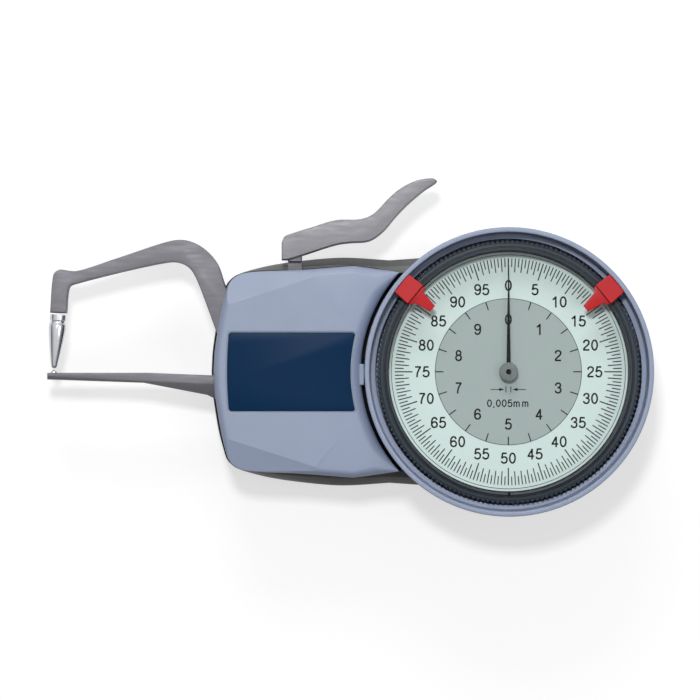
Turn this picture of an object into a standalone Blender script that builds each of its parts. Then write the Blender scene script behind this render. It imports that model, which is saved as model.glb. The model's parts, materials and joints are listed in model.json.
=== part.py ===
"""Dial caliper gauge: a lever gauge with two curved arms, a spring-closed movement and a turning dial.

The gauge lies on its back. X runs from the contact tips (-X) to the dial (+X), Y runs from the fixed
arm up to the lift lever, and Z runs out through the crystal. The origin is on the dial's axis, on
the flat back. Lengths are in metres.
"""

from math import acos, asin, atan2, cos, hypot, pi, radians, sin, sqrt, tan

import bmesh
import bpy
from mathutils import Matrix, Vector

# Fits, edges and roundness
GAP = 0.0003
RUNNING_GAP = 0.00015
CUT_OVERRUN = 0.001
EDGE_SHARES = (0.134, 0.5)
WELD = 0.00001
CURVE_STEPS = 2
ROUND_SIDES = 48
SMALL_SIDES = 16
SCREW_SIDES = 10

# Depths, from the back face up
REAR_DEPTH = 0.0109
REAR_FLOOR = 0.0020
BASE_PLATE_DEPTH = 0.0020
ARM_DEPTH = 0.0040
SECTOR_DEPTH = 0.0010
SECTOR_HEADROOM = 0.0007
BRIDGE_DEPTH = 0.0010
FRONT_TOP = 0.0220
FRONT_PLATE = 0.0016
RIM_TOP = 0.0270

# Heights that follow from the depths
BASE_TOP = REAR_DEPTH
BASE_BOTTOM = BASE_TOP - BASE_PLATE_DEPTH
ARM_BOTTOM = REAR_DEPTH + GAP
ARM_TOP = ARM_BOTTOM + ARM_DEPTH
ARM_MIDDLE = (ARM_BOTTOM + ARM_TOP) / 2
SECTOR_BOTTOM = ARM_TOP + GAP
SECTOR_TOP = SECTOR_BOTTOM + SECTOR_DEPTH
BRIDGE_BOTTOM = SECTOR_TOP + SECTOR_HEADROOM
BRIDGE_TOP = BRIDGE_BOTTOM + BRIDGE_DEPTH
FRONT_BOTTOM = REAR_DEPTH + GAP
FRONT_CEILING = FRONT_TOP - FRONT_PLATE

# Front shell
SHELL_REACH = 0.0642
SHELL_HALF_HEIGHT = 0.0232
SHELL_WALL = 0.0018
SHELL_EDGE_RADIUS = 0.0016
SHELL_CASE_GAP = 0.0005
SHELL_FACET_TILT = radians(8)
SHELL_CREASE_SHARES = ((-0.980, 0.603), (-0.592, 0.950))
SHELL_OUTLINE_SHARES = (
    (-1.0000, 0.000),
    (-0.9965, 0.180),
    (-0.9876, 0.358),
    (-0.9737, 0.580),
    (-0.9598, 0.738),
    (-0.9520, 0.810),
    (-0.9365, 0.870),
    (-0.9149, 0.909),
    (-0.8770, 0.934),
    (-0.7010, 0.957),
    (-0.6150, 0.975),
    (-0.5390, 0.992),
    (-0.5270, 0.994),
    (-0.5150, 0.991),
    (-0.4455, 0.965),
)
SHELL_ARC_SHARE = 0.933
SHELL_ARC_STEPS = 16
KEY_HALF_LENGTH = 0.0023
KEY_DROP = 0.0006
KEY_DEPTH = 0.0026

# Rear shell
REAR_REACH = 0.0649
REAR_HALF_HEIGHT = 0.0251
REAR_WALL = 0.0026
REAR_EDGE_RADIUS = 0.0012
REAR_SHOULDER_WIDTH = 0.0017
REAR_SHOULDER_DEPTH = 0.0022
REAR_SHOULDER_POWER = 6
REAR_CIRCLE_R = 0.0311
REAR_OUTLINE_SHARES = (
    (-1.0000, 0.000),
    (-0.9965, 0.170),
    (-0.9880, 0.335),
    (-0.9740, 0.545),
    (-0.9590, 0.695),
    (-0.9500, 0.765),
    (-0.9330, 0.815),
    (-0.9060, 0.857),
    (-0.8320, 0.914),
    (-0.7473, 0.954),
    (-0.5932, 0.996),
    (-0.5254, 0.998),
    (-0.3975, 0.976),
)
REAR_ARC_SHARE = 0.996
REAR_ARC_STEPS = 32

# Housing screws, driven in from the back
HOUSING_SCREW_SHARES = ((-0.812, 0.746), (-0.550, 0.806), (-0.812, -0.746), (-0.550, -0.806))
SCREW_R = 0.0010
SCREW_HEAD_R = 0.0019
SCREW_HEAD_DEPTH = 0.0013
LOW_HEAD_DEPTH = 0.0007
SCREW_BOSS_WALL = 0.0016
SCREW_BITE = 0.0045
POST_R = 0.0026

# Name plate, set in a shallow bed on the front shell
PLATE_LEFT = 0.0608
PLATE_BULGE = 0.0004
PLATE_HALF_HEIGHT = 0.0085
PLATE_DIAL_GAP = 0.0344
PLATE_DEPTH = 0.0006
PLATE_PROUD = 0.0002
PLATE_CORNER = 0.0004
PLATE_SIDE_SHARES = (1.0, 0.5, 0.0, -0.5, -1.0)
PLATE_ARC_STEPS = 8

# Dial case
CASE_R = 0.03135
RIM_WALL = 0.0010
RIM_EDGE_RADIUS = 0.0003
TROUGH_DEPTH = 0.0035
TROUGH_FALL = 0.0003
BEZEL_GAP = 0.00035
CASE_LEDGE_WIDTH = 0.00175
CASE_LEDGE_DEPTH = 0.0010
CASE_POST_R = 0.0023
CASE_POST_INSET = 0.00155
CASE_POST_ANGLES = (radians(50), radians(218), radians(305))

# Bezel, crystal and dial
BEZEL_R = 0.0286
BEZEL_TOP = 0.0258
BEZEL_BODY_INSET = 0.0004
KNURL_COUNT = 75
KNURL_CUT = 0.00025
KNURL_DEPTH = 0.0026
KNURL_DROP = 0.0004
BEZEL_BOTTOM = 0.0187
BEZEL_FLANGE_DEPTH = 0.0009
BEZEL_FLANGE_WIDTH = 0.00175
BEZEL_EDGE = 0.0003
DIAL_R = 0.02604
DIAL_DEPTH = 0.0007
CRYSTAL_SEAT = 0.0228
CRYSTAL_SEAT_WIDTH = 0.00095
CRYSTAL_DEPTH = 0.0014
CRYSTAL_SEAL_DEPTH = 0.0004
CASE_BORE_R = BEZEL_R + BEZEL_GAP
CASE_POST_RING_R = CASE_BORE_R - CASE_POST_INSET
LEDGE_TOP = BEZEL_BOTTOM - GAP
DIAL_BOTTOM = BEZEL_BOTTOM + BEZEL_FLANGE_DEPTH + GAP
DIAL_TOP = DIAL_BOTTOM + DIAL_DEPTH
DIAL_POCKET_R = DIAL_R + GAP
CRYSTAL_POCKET_R = DIAL_POCKET_R + CRYSTAL_SEAT_WIDTH
CRYSTAL_R = CRYSTAL_POCKET_R - GAP
SEAL_BOTTOM = CRYSTAL_SEAT + GAP
CRYSTAL_BOTTOM = SEAL_BOTTOM + CRYSTAL_SEAL_DEPTH + GAP
CRYSTAL_TOP = CRYSTAL_BOTTOM + CRYSTAL_DEPTH

# Tolerance markers, clipped over the bezel
MARKER_ANGLE = radians(50.5)
MARKER_WIDTH = 0.0049
MARKER_BLOCK_LENGTH = 0.00355
MARKER_TONGUE_R = 0.0215
MARKER_TONGUE_WIDTH = 0.00175
MARKER_ROOT_WIDTH = 0.0030
MARKER_SHOULDER = 0.0009
MARKER_TONGUE_DEPTH = 0.0008
MARKER_BLOCK_DEPTH = 0.0011
MARKER_GRIP_EDGE = 0.0003

# Arms. The pivot is level with the contacts, straight below the lever's stem.
PIVOT_X = -0.04653
PIVOT_Y = 0.0
CONTACT_X = -0.0994
HUB_R = 0.0070
PIVOT_R = 0.0015
BUSH_WALL = 0.00085
BUSH_BOSS_R = 0.0034
MEASURING_RANGE = 0.010
ARM_SPREAD = 0.0537
ARM_RISE = 0.0290
FIXED_ARM_DROP = 0.0130
OPENING_ANGLE = 2 * asin(MEASURING_RANGE / (PIVOT_X - CONTACT_X) / 2)
MOVING_ARM_SHARES = (
    (-1.0006, 0.445),
    (-0.9905, 0.697),
    (-0.9836, 0.745),
    (-0.9609, 0.771),
    (-0.9240, 0.764),
    (-0.8929, 0.761),
    (-0.7140, 0.866),
    (-0.5266, 0.980),
    (-0.4756, 0.997),
    (-0.4298, 0.987),
    (-0.3732, 0.934),
    (-0.3164, 0.819),
    (-0.2849, 0.660),
    (-0.2276, 0.386),
)
MOVING_ARM_INNER_SHARES = (
    (-0.1220, 0.006),
    (-0.2060, 0.024),
    (-0.2620, 0.076),
    (-0.2920, 0.155),
    (-0.3250, 0.319),
    (-0.4157, 0.745),
    (-0.4412, 0.795),
    (-0.4756, 0.822),
    (-0.5153, 0.824),
    (-0.8901, 0.663),
    (-0.9156, 0.645),
    (-0.9229, 0.613),
    (-0.9309, 0.440),
)
FIXED_ARM_SHARES = (
    (-1.0119, -0.020),
    (-0.5990, -0.021),
    (-0.3365, -0.062),
    (-0.1480, -0.058),
    (-0.1480, -0.220),
    (-0.1210, -0.390),
    (-0.1110, -0.520),
    (-0.1110, -0.985),
    (-0.2620, -0.985),
    (-0.2830, -0.560),
    (-0.3350, -0.440),
    (-0.3590, -0.392),
    (-0.6177, -0.190),
    (-1.0119, -0.134),
)
FIXED_FACET_SHARES = ((-1.0119, -0.075), (-0.6177, -0.185))
FIXED_FACET_TILT = radians(35)
FIXED_FACET_DEPTH = 0.0011
FIXED_FACET_REACH = 0.0030
FIXED_SCREW_SHARES = ((-0.222, -0.560), (-0.166, -0.760))
FIXED_SCREW_HEAD_R = 0.0017
HUB_STEPS = 12
LOBE_STEPS = 6
HUB_SHOULDER_ANGLE = radians(118)
HUB_HEEL_ANGLE = radians(184)
SPRING_PIN_DROP = 0.0095
SPRING_LOBE_R = 0.0021
STEM_WIDTH = 0.00307
STEM_TOP = 0.0283
SLOT_CLEARANCE = 0.0006

# Contacts
TIP_LENGTH = 0.0118
TIP_LOW = 0.0007
TIP_WIDE_R = 0.0019
TIP_NECK_R = 0.00183
TIP_END_R = 0.0007
TIP_SHANK_R = 0.0010
TIP_SHANK_LENGTH = 0.0026
TIP_TILT = radians(4.8)
TIP_PROFILE_SHARES = (
    (0.015, 0.00),
    (0.045, 0.30),
    (0.075, 0.42),
    (0.280, 0.62),
    (0.500, 0.86),
    (0.660, 0.97),
    (0.730, 1.00),
    (0.860, 0.99),
)
ANVIL_R = 0.0007
ANVIL_TOP = 0.00055
ANVIL_SHANK_R = 0.00045
ANVIL_SHANK_LENGTH = 0.0006
ANVIL_SIDES = 16
DOME_STEPS = 3

# Lift lever
LEVER_DEPTH = 0.0070
LEVER_LENGTH = 0.0341
LEVER_HEIGHT = 0.0180
LEVER_LEFT = -0.04948
LEVER_LOW = 0.02441
LEVER_EDGE_RADIUS = 0.0006
LEVER_SCREW_HEIGHT = 0.0262
LEVER_SCREW_SHANK_R = 0.0007
LEVER_SCREW_HEAD_R = 0.0012
LEVER_SCREW_HEAD_DEPTH = 0.0005
LEVER_OUTLINE_SHARES = (
    (0.000, 0.000),
    (0.041, 0.000),
    (0.135, 0.054),
    (0.354, 0.185),
    (0.435, 0.208),
    (0.565, 0.231),
    (0.655, 0.347),
    (0.728, 0.509),
    (0.810, 0.671),
    (0.915, 0.840),
    (1.000, 0.958),
    (0.985, 0.990),
    (0.966, 1.000),
    (0.866, 0.971),
    (0.760, 0.871),
    (0.680, 0.739),
    (0.598, 0.578),
    (0.542, 0.520),
    (0.484, 0.497),
    (0.354, 0.491),
    (0.191, 0.401),
    (0.066, 0.328),
    (0.020, 0.290),
    (0.000, 0.217),
)

# Movement: one module, so that every wheel pair meshes
GEAR_MODULE = 0.00025
PINION_TEETH = 10
SECTOR_FULL_TEETH = 332
TRANSFER_TEETH = 100
COUNTER_TEETH = 55
TAKE_UP_TEETH = 60
SECTOR_FIRST_TOOTH = -1
SECTOR_SPARE_TEETH = 1
ADDENDUM_SHARE = 0.75
TOOTH_CLEARANCE_SHARE = 0.25
WHEEL_TOOTH_SHARES = (0.46, 0.16)
PINION_TOOTH_SHARES = (0.42, 0.14)
TAKE_UP_LEAF_STEPS = 4
WHEEL_DEPTH = 0.0008
WHEEL_LIFT = 0.0005
COUNTER_LIFT = 0.0010
PINION_SPILL = 0.0002
ARBOR_R = 0.0006
ARBOR_PIVOT_R = 0.00035
BLADE_HALF_WIDTH = 0.0030
BLADE_NEAR_R = 0.0120
BLADE_FAR_R = 0.0300
SECTOR_RIM_WIDTH = 0.0029
SECTOR_SCREW_RING_R = 0.0051
SECTOR_SCREW_R = 0.0006
SECTOR_SCREW_HEAD_R = 0.0013
SECTOR_SCREW_BITE = 0.0030
SECTOR_HUB_STEPS = 14
HUB_FLARE_SHARE = 1.5

# Base plate, pillars and bridge
BASE_STRIP_HALF_HEIGHT = 0.0132
BASE_STRIP_LEFT = 0.0605
BASE_DISC_R = 0.0240
BRIDGE_R = 0.0240
PILLAR_R = 0.0015
PILLAR_RING_R = 0.0220
PILLAR_ANGLES = (radians(70), radians(215), radians(330))
BRIDGE_SCREW_R = 0.0006
BRIDGE_SCREW_HEAD_R = 0.0014
PILLAR_SPIGOT_R = 0.0009
PILLAR_BITE = 0.0030
BASE_SUPPORT_R = 0.0040
BASE_SCREW_RING_R = 0.0180
BASE_SCREW_ANGLES = (radians(10), radians(195), radians(290))

# Hands
TUBE_WALL = 0.00045
TUBE_PLAY = 0.0002
COUNTER_HAND_LIFT = 0.0004
COUNTER_HAND_DEPTH = 0.0003
COUNTER_HAND_LENGTH = 0.0125
COUNTER_HAND_WIDTH = 0.00040
COUNTER_HUB_R = 0.0019
COUNTER_HAND_TIP_WIDTH = 0.00015
MAIN_HAND_LIFT = 0.0004
MAIN_HAND_DEPTH = 0.0003
MAIN_HAND_LENGTH = 0.0234
MAIN_HAND_WIDTH = 0.00091
MAIN_HAND_TIP_WIDTH = 0.00011
MAIN_HAND_BOSS_R = 0.0016
HAND_HUB_R = 0.0021
HAND_HUB_DEPTH = 0.0008
HAND_HUB_LIFT = 0.0001
HAND_BOSS_STEPS = 14

# Springs
RETURN_COIL_R = 0.0013
RETURN_WIRE_R = 0.00022
RETURN_TURNS = 8
RETURN_COIL_SHARE = 0.56
SPRING_PIN_R = 0.0006
SPRING_POST_DROP = 0.0105
SPRING_POST_CLEARANCE = 0.0022
HOOK_SWEEP = radians(250)
WIRE_SIDES = 5
COIL_TURN_POINTS = 8
HOOK_POINTS = 7
HAIRSPRING_INNER_R = 0.0012
HAIRSPRING_OUTER_R = 0.0050
HAIRSPRING_TURNS = 3
HAIRSPRING_TURN_POINTS = 16
HAIRSPRING_WIRE_R = 0.00012
HAIRSPRING_LEVEL = 0.0151
HAIRSPRING_STUD_R = 0.0005


def clear_scene():
    for old in list(bpy.data.objects):
        bpy.data.objects.remove(old, do_unlink=True)


def make_material(name, colour, roughness, metallic):
    material = bpy.data.materials.new(name)
    material.use_nodes = True
    shader = material.node_tree.nodes["Principled BSDF"]
    shader.inputs["Base Color"].default_value = (*colour, 1.0)
    shader.inputs["Roughness"].default_value = roughness
    shader.inputs["Metallic"].default_value = metallic
    material.diffuse_color = (*colour, 1.0)
    return material


def make_pivot(name, x, y):
    """An empty on a joint's axis, for the pieces that turn about it."""
    pivot = bpy.data.objects.new(name, None)
    pivot.location = (x, y, 0)
    bpy.context.collection.objects.link(pivot)
    return pivot


def finish_mesh(name, bm, material, parent=None):
    """Turns a bmesh in world places into a named object with its origin on its parent's axis."""
    bmesh.ops.recalc_face_normals(bm, faces=bm.faces)
    mesh = bpy.data.meshes.new(name)
    if parent is not None:
        bmesh.ops.translate(bm, verts=bm.verts, vec=-parent.location)
    bm.to_mesh(mesh)
    bm.free()
    mesh.shade_smooth()
    mesh.set_sharp_from_angle(angle=radians(35))
    piece = bpy.data.objects.new(name, mesh)
    piece.parent = parent
    piece.data.materials.append(material)
    bpy.context.collection.objects.link(piece)
    return piece


def make_cutter(name, bm, parent=None):
    """A solid that only cuts or joins: it is hidden in renders and drawn as wire."""
    bmesh.ops.recalc_face_normals(bm, faces=bm.faces)
    mesh = bpy.data.meshes.new(name)
    if parent is not None:
        bmesh.ops.translate(bm, verts=bm.verts, vec=-parent.location)
    bm.to_mesh(mesh)
    bm.free()
    cutter = bpy.data.objects.new(name, mesh)
    cutter.parent = parent
    cutter.hide_render = True
    cutter.display_type = "WIRE"
    bpy.context.collection.objects.link(cutter)
    return cutter


def add_boolean(piece, operation, other_mesh, label):
    cutter = make_cutter(f"{piece.name}_{label}", other_mesh, piece.parent)
    modifier = piece.modifiers.new(label, "BOOLEAN")
    modifier.operation = operation
    modifier.solver = "EXACT"
    modifier.object = cutter


def cut_away(piece, other_mesh, label):
    add_boolean(piece, "DIFFERENCE", other_mesh, label)


def join_on(piece, other_mesh, label):
    add_boolean(piece, "UNION", other_mesh, label)


def stack(levels):
    """A closed solid through loops with the same number of points, each given as (outline, height)."""
    bm = bmesh.new()
    loops = [[bm.verts.new((x, y, z)) for x, y in outline] for outline, z in levels]
    for low, high in zip(loops, loops[1:]):
        for i in range(len(low)):
            j = (i + 1) % len(low)
            bm.faces.new((low[i], low[j], high[j], high[i]))
    bm.faces.new(list(reversed(loops[0])))
    bm.faces.new(loops[-1])
    return bm


def prism(outline, bottom, top):
    return stack([(outline, bottom), (outline, top)])


def circle(radius, sides, x=0.0, y=0.0, turn=0.0):
    steps = [turn + 2 * pi * i / sides for i in range(sides)]
    return [(x + radius * cos(a), y + radius * sin(a)) for a in steps]


def cylinder(radius, bottom, top, x=0.0, y=0.0, sides=SMALL_SIDES):
    return prism(circle(radius, sides, x, y), bottom, top)


def box(low, high):
    outline = [(low[0], low[1]), (high[0], low[1]), (high[0], high[1]), (low[0], high[1])]
    return prism(outline, low[2], high[2])


def turned(profile, sides, x=0.0, y=0.0):
    """A closed profile of (radius, height) points turned about an upright axis at x, y."""
    bm = bmesh.new()
    ring = []
    for radius, height in profile:
        if radius > 0:
            ring.append([bm.verts.new((px, py, height)) for px, py in circle(radius, sides, x, y)])
        else:
            ring.append([bm.verts.new((x, y, height))])
    for a, b in zip(ring, ring[1:] + ring[:1]):
        for i in range(sides):
            j = (i + 1) % sides
            corners = []
            for vert in (a[i % len(a)], a[j % len(a)], b[j % len(b)], b[i % len(b)]):
                if vert not in corners:
                    corners.append(vert)
            if len(corners) > 2:
                bm.faces.new(corners)
    return bm


def lay_along(bm, place, axis):
    """Turns a solid built up +Z so that +Z runs along the axis, with its foot at the place."""
    turn = Vector((0, 0, 1)).rotation_difference(Vector(axis)).to_matrix().to_4x4()
    bmesh.ops.transform(bm, matrix=Matrix.Translation(place) @ turn, verts=bm.verts)
    return bm


def inset(outline, distance):
    """The outline moved inwards by a distance, corner by corner. It runs anticlockwise."""
    moved = []
    count = len(outline)
    for i, (x, y) in enumerate(outline):
        before, after = outline[i - 1], outline[(i + 1) % count]
        first = Vector((x - before[0], y - before[1])).normalized()
        second = Vector((after[0] - x, after[1] - y)).normalized()
        normal_sum = Vector((-first.y - second.y, first.x + second.x))
        spread = 1 + first.dot(second)
        moved.append((x + distance * normal_sum.x / spread, y + distance * normal_sum.y / spread))
    return moved


def at_shares(shares, width, height, x=0.0, y=0.0):
    return [(x + a * width, y + b * height) for a, b in shares]


def arc(radius, start, end, steps, x=0.0, y=0.0):
    angles = [start + (end - start) * i / steps for i in range(steps + 1)]
    return [(x + radius * cos(a), y + radius * sin(a)) for a in angles]


def flowing(points, steps):
    """Points along a smooth curve through the given ones. It bends evenly at close and at wide spacing."""
    given = [Vector(point) for point in points]
    ends = [2 * given[0] - given[1]] + given + [2 * given[-1] - given[-2]]
    curve = []
    for a, b, c, d in zip(ends, ends[1:], ends[2:], ends[3:]):
        first, middle, last = sqrt((b - a).length), sqrt((c - b).length), sqrt((d - c).length)
        leave = (b - a) / first - (c - a) / (first + middle) + (c - b) / middle
        arrive = (c - b) / middle - (d - b) / (middle + last) + (d - c) / last
        for i in range(steps):
            t = i / steps
            way = b * (2 * t**3 - 3 * t**2 + 1) + c * (3 * t**2 - 2 * t**3)
            way += middle * (leave * (t**3 - 2 * t**2 + t) + arrive * (t**3 - t**2))
            curve.append(tuple(way))
    return curve + [tuple(given[-1])]


def polar(radius, angle, x=0.0, y=0.0):
    return x + radius * cos(angle), y + radius * sin(angle)


def screw(shank_r, shank_length, head_r, head_depth, x, y, head_z, points_up):
    """A pan-head screw on an upright axis. head_z is the underside of its head."""
    way = 1 if points_up else -1
    profile = [
        (0.0, head_z + way * shank_length),
        (shank_r, head_z + way * shank_length),
        (shank_r, head_z),
        (head_r, head_z),
        (head_r, head_z - way * head_depth),
        (0.0, head_z - way * head_depth),
    ]
    return turned(profile, SCREW_SIDES, x, y)


def gear_outline(teeth, tooth_shares, x, y, tooth_angle):
    """All teeth of a gear, four points each, with one tooth centred on tooth_angle."""
    pitch_r = teeth * GEAR_MODULE / 2
    return [
        point
        for i in range(teeth)
        for point in tooth(pitch_r, tooth_angle + 2 * pi * i / teeth, 2 * pi / teeth, tooth_shares, x, y)
    ]


def tooth(pitch_r, angle, pitch_angle, tooth_shares, x, y):
    addendum = ADDENDUM_SHARE * GEAR_MODULE
    dedendum = addendum + TOOTH_CLEARANCE_SHARE * GEAR_MODULE
    root_half = tooth_shares[0] * pitch_angle / 2
    tip_half = tooth_shares[1] * pitch_angle / 2
    return [
        polar(pitch_r - dedendum, angle - root_half, x, y),
        polar(pitch_r + addendum, angle - tip_half, x, y),
        polar(pitch_r + addendum, angle + tip_half, x, y),
        polar(pitch_r - dedendum, angle + root_half, x, y),
    ]


def turned_by(point, angle, about):
    """A point turned anticlockwise about another."""
    dx = point[0] - about[0]
    dy = point[1] - about[1]
    x = about[0] + dx * cos(angle) - dy * sin(angle)
    y = about[1] + dx * sin(angle) + dy * cos(angle)
    return x, y


# Places in the movement. Each wheel pair stands one sum of pitch radii apart.
PIVOT = (PIVOT_X, PIVOT_Y)
CENTRE = (0.0, 0.0)
PINION_PITCH_R = PINION_TEETH * GEAR_MODULE / 2
SECTOR_PITCH_R = SECTOR_FULL_TEETH * GEAR_MODULE / 2
TRANSFER_PITCH_R = TRANSFER_TEETH * GEAR_MODULE / 2
TAKE_UP_PITCH_R = TAKE_UP_TEETH * GEAR_MODULE / 2
PIVOT_TO_CENTRE = hypot(PIVOT_X, PIVOT_Y)
PIVOT_TO_TRANSFER = SECTOR_PITCH_R + PINION_PITCH_R
CENTRE_TO_TRANSFER = TRANSFER_PITCH_R + PINION_PITCH_R
CENTRE_TO_TAKE_UP = TAKE_UP_PITCH_R + PINION_PITCH_R
SECTOR_MESH_ANGLE = acos(
    (PIVOT_TO_CENTRE**2 + PIVOT_TO_TRANSFER**2 - CENTRE_TO_TRANSFER**2)
    / (2 * PIVOT_TO_CENTRE * PIVOT_TO_TRANSFER)
)
TRANSFER = polar(PIVOT_TO_TRANSFER, SECTOR_MESH_ANGLE, *PIVOT)
CENTRE_MESH_ANGLE = atan2(TRANSFER[1], TRANSFER[0])
LEAF_ANGLE = 2 * pi / PINION_TEETH
TAKE_UP_ANGLE = CENTRE_MESH_ANGLE + TAKE_UP_LEAF_STEPS * LEAF_ANGLE
TAKE_UP = polar(CENTRE_TO_TAKE_UP, TAKE_UP_ANGLE)
SECTOR_TOOTH_ANGLE = 2 * pi / SECTOR_FULL_TEETH
SECTOR_LAST_TOOTH = int(OPENING_ANGLE / SECTOR_TOOTH_ANGLE) + SECTOR_SPARE_TEETH
SECTOR_MIDDLE_ANGLE = SECTOR_MESH_ANGLE + SECTOR_TOOTH_ANGLE * (SECTOR_FIRST_TOOTH + SECTOR_LAST_TOOTH) / 2

# Heights in the movement
WHEEL_BOTTOM = BASE_TOP + WHEEL_LIFT
WHEEL_TOP = WHEEL_BOTTOM + WHEEL_DEPTH
COUNTER_BOTTOM = WHEEL_TOP + COUNTER_LIFT
COUNTER_TOP = COUNTER_BOTTOM + WHEEL_DEPTH
ARBOR_FOOT = BASE_BOTTOM + GAP
ARBOR_SHOULDER = BASE_TOP + RUNNING_GAP
ARBOR_NECK = BRIDGE_BOTTOM - GAP
ARBOR_HEAD = BRIDGE_TOP - GAP / 2
COUNTER_HAND_BOTTOM = DIAL_TOP + COUNTER_HAND_LIFT
COUNTER_HAND_TOP = COUNTER_HAND_BOTTOM + COUNTER_HAND_DEPTH
MAIN_HAND_BOTTOM = COUNTER_HAND_TOP + MAIN_HAND_LIFT
MAIN_HAND_TOP = MAIN_HAND_BOTTOM + MAIN_HAND_DEPTH
HAND_HUB_BOTTOM = MAIN_HAND_TOP + HAND_HUB_LIFT
HAND_HUB_TOP = HAND_HUB_BOTTOM + HAND_HUB_DEPTH
TUBE_INNER_R = ARBOR_R + TUBE_PLAY
TUBE_OUTER_R = TUBE_INNER_R + TUBE_WALL
SPRING_LEVEL = SECTOR_BOTTOM + RETURN_COIL_R
SPRING_PIN = (PIVOT_X, PIVOT_Y - SPRING_PIN_DROP)

# Outlines that pieces share
SHELL_ARC_R = CASE_R + SHELL_CASE_GAP
SHELL_INNER_ARC_R = SHELL_ARC_R + SHELL_WALL
SHELL_ARC_HALF = asin(SHELL_ARC_SHARE * SHELL_HALF_HEIGHT / SHELL_ARC_R)
REAR_ARC_HALF = pi - asin(REAR_ARC_SHARE * REAR_HALF_HEIGHT / REAR_CIRCLE_R)
SPRING_POST_X = -sqrt(SHELL_INNER_ARC_R**2 - SPRING_POST_DROP**2) - SPRING_POST_CLEARANCE
SPRING_POST = (SPRING_POST_X, -SPRING_POST_DROP)
HOUSING_SCREWS = at_shares(HOUSING_SCREW_SHARES, SHELL_REACH, SHELL_HALF_HEIGHT)
CASE_SCREWS = [polar(CASE_POST_RING_R, angle) for angle in CASE_POST_ANGLES]
FIXED_SCREWS = at_shares(FIXED_SCREW_SHARES, ARM_SPREAD, FIXED_ARM_DROP, *PIVOT)
BASE_SCREWS = [polar(BASE_SCREW_RING_R, angle) for angle in BASE_SCREW_ANGLES]
PILLARS = [polar(PILLAR_RING_R, angle) for angle in PILLAR_ANGLES]
SCREW_HOLE_R = SCREW_R + RUNNING_GAP
SCREW_BOSS_R = SCREW_HOLE_R + SCREW_BOSS_WALL
SCREW_HEAD_SEAT = GAP + SCREW_HEAD_DEPTH
BUSH_R = PIVOT_R + RUNNING_GAP + BUSH_WALL
BUSH_BOSS_BOTTOM = SECTOR_TOP + SECTOR_HEADROOM


def front_outline():
    upper = flowing(at_shares(SHELL_OUTLINE_SHARES, SHELL_REACH, SHELL_HALF_HEIGHT), CURVE_STEPS)
    lower = [(x, -y) for x, y in upper[1:]]
    bend = arc(SHELL_ARC_R, pi + SHELL_ARC_HALF, pi - SHELL_ARC_HALF, SHELL_ARC_STEPS)
    return [upper[0]] + lower + bend + list(reversed(upper[1:]))


def rear_outline():
    upper = flowing(at_shares(REAR_OUTLINE_SHARES, REAR_REACH, REAR_HALF_HEIGHT), CURVE_STEPS)
    lower = [(x, -y) for x, y in upper[1:]]
    bend = arc(REAR_CIRCLE_R, -REAR_ARC_HALF, REAR_ARC_HALF, REAR_ARC_STEPS)
    return [upper[0]] + lower + bend + list(reversed(upper[1:]))


def rear_seam(outline):
    """The rear shell's front edge. It draws in where the outline stands out past the front shell."""
    moved = []
    for near, far in zip(outline, inset(outline, REAR_SHOULDER_WIDTH)):
        height = min(abs(near[1]) / REAR_HALF_HEIGHT, 1.0)
        share = height**REAR_SHOULDER_POWER if near[0] < -REAR_CIRCLE_R / 2 else 0.0
        moved.append((near[0] + (far[0] - near[0]) * share, near[1] + (far[1] - near[1]) * share))
    return moved


def screw_boss(x, y):
    return cylinder(SCREW_BOSS_R, REAR_FLOOR / 2, REAR_DEPTH - GAP, x, y, SCREW_SIDES)


def base_support(x, y, radius):
    return cylinder(radius, REAR_FLOOR / 2, BASE_BOTTOM - GAP, x, y, SCREW_SIDES)


def make_rear_shell(material):
    outline = rear_outline()
    near, middle = REAR_EDGE_RADIUS * EDGE_SHARES[0], REAR_EDGE_RADIUS * EDGE_SHARES[1]
    levels = [
        (inset(outline, REAR_EDGE_RADIUS), 0.0),
        (inset(outline, middle), near),
        (inset(outline, near), middle),
        (outline, REAR_EDGE_RADIUS),
        (outline, REAR_DEPTH - REAR_SHOULDER_DEPTH),
        (rear_seam(outline), REAR_DEPTH),
    ]
    shell = finish_mesh("rear_shell", stack(levels), material)
    cut_away(shell, prism(inset(outline, REAR_WALL), REAR_FLOOR, REAR_DEPTH + CUT_OVERRUN), "cavity")
    for i, (x, y) in enumerate(HOUSING_SCREWS + CASE_SCREWS):
        join_on(shell, screw_boss(x, y), f"boss_{i}")
    for i, (x, y) in enumerate(FIXED_SCREWS + BASE_SCREWS):
        join_on(shell, base_support(x, y, SCREW_BOSS_R), f"support_{i}")
    join_on(shell, base_support(*PIVOT, BASE_SUPPORT_R), "pivot_support")
    for i, (x, y) in enumerate(HOUSING_SCREWS + CASE_SCREWS):
        head = cylinder(SCREW_HEAD_R + GAP, -CUT_OVERRUN, SCREW_HEAD_SEAT + GAP, x, y, SCREW_SIDES)
        cut_away(shell, head, f"counterbore_{i}")
        hole = cylinder(SCREW_HOLE_R, 0.0, REAR_DEPTH + CUT_OVERRUN, x, y, SCREW_SIDES)
        cut_away(shell, hole, f"hole_{i}")
    for i, (x, y) in enumerate(FIXED_SCREWS + BASE_SCREWS):
        tapped = cylinder(SCREW_HOLE_R, BASE_BOTTOM - SCREW_BITE, REAR_DEPTH, x, y, SCREW_SIDES)
        cut_away(shell, tapped, f"tapped_{i}")
    return shell


def post_hole(x, y):
    """The hole in a post for a screw from the back."""
    bottom, top = FRONT_BOTTOM - CUT_OVERRUN, FRONT_BOTTOM + SCREW_BITE + GAP
    return cylinder(SCREW_HOLE_R, bottom, top, x, y, SCREW_SIDES)


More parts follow.
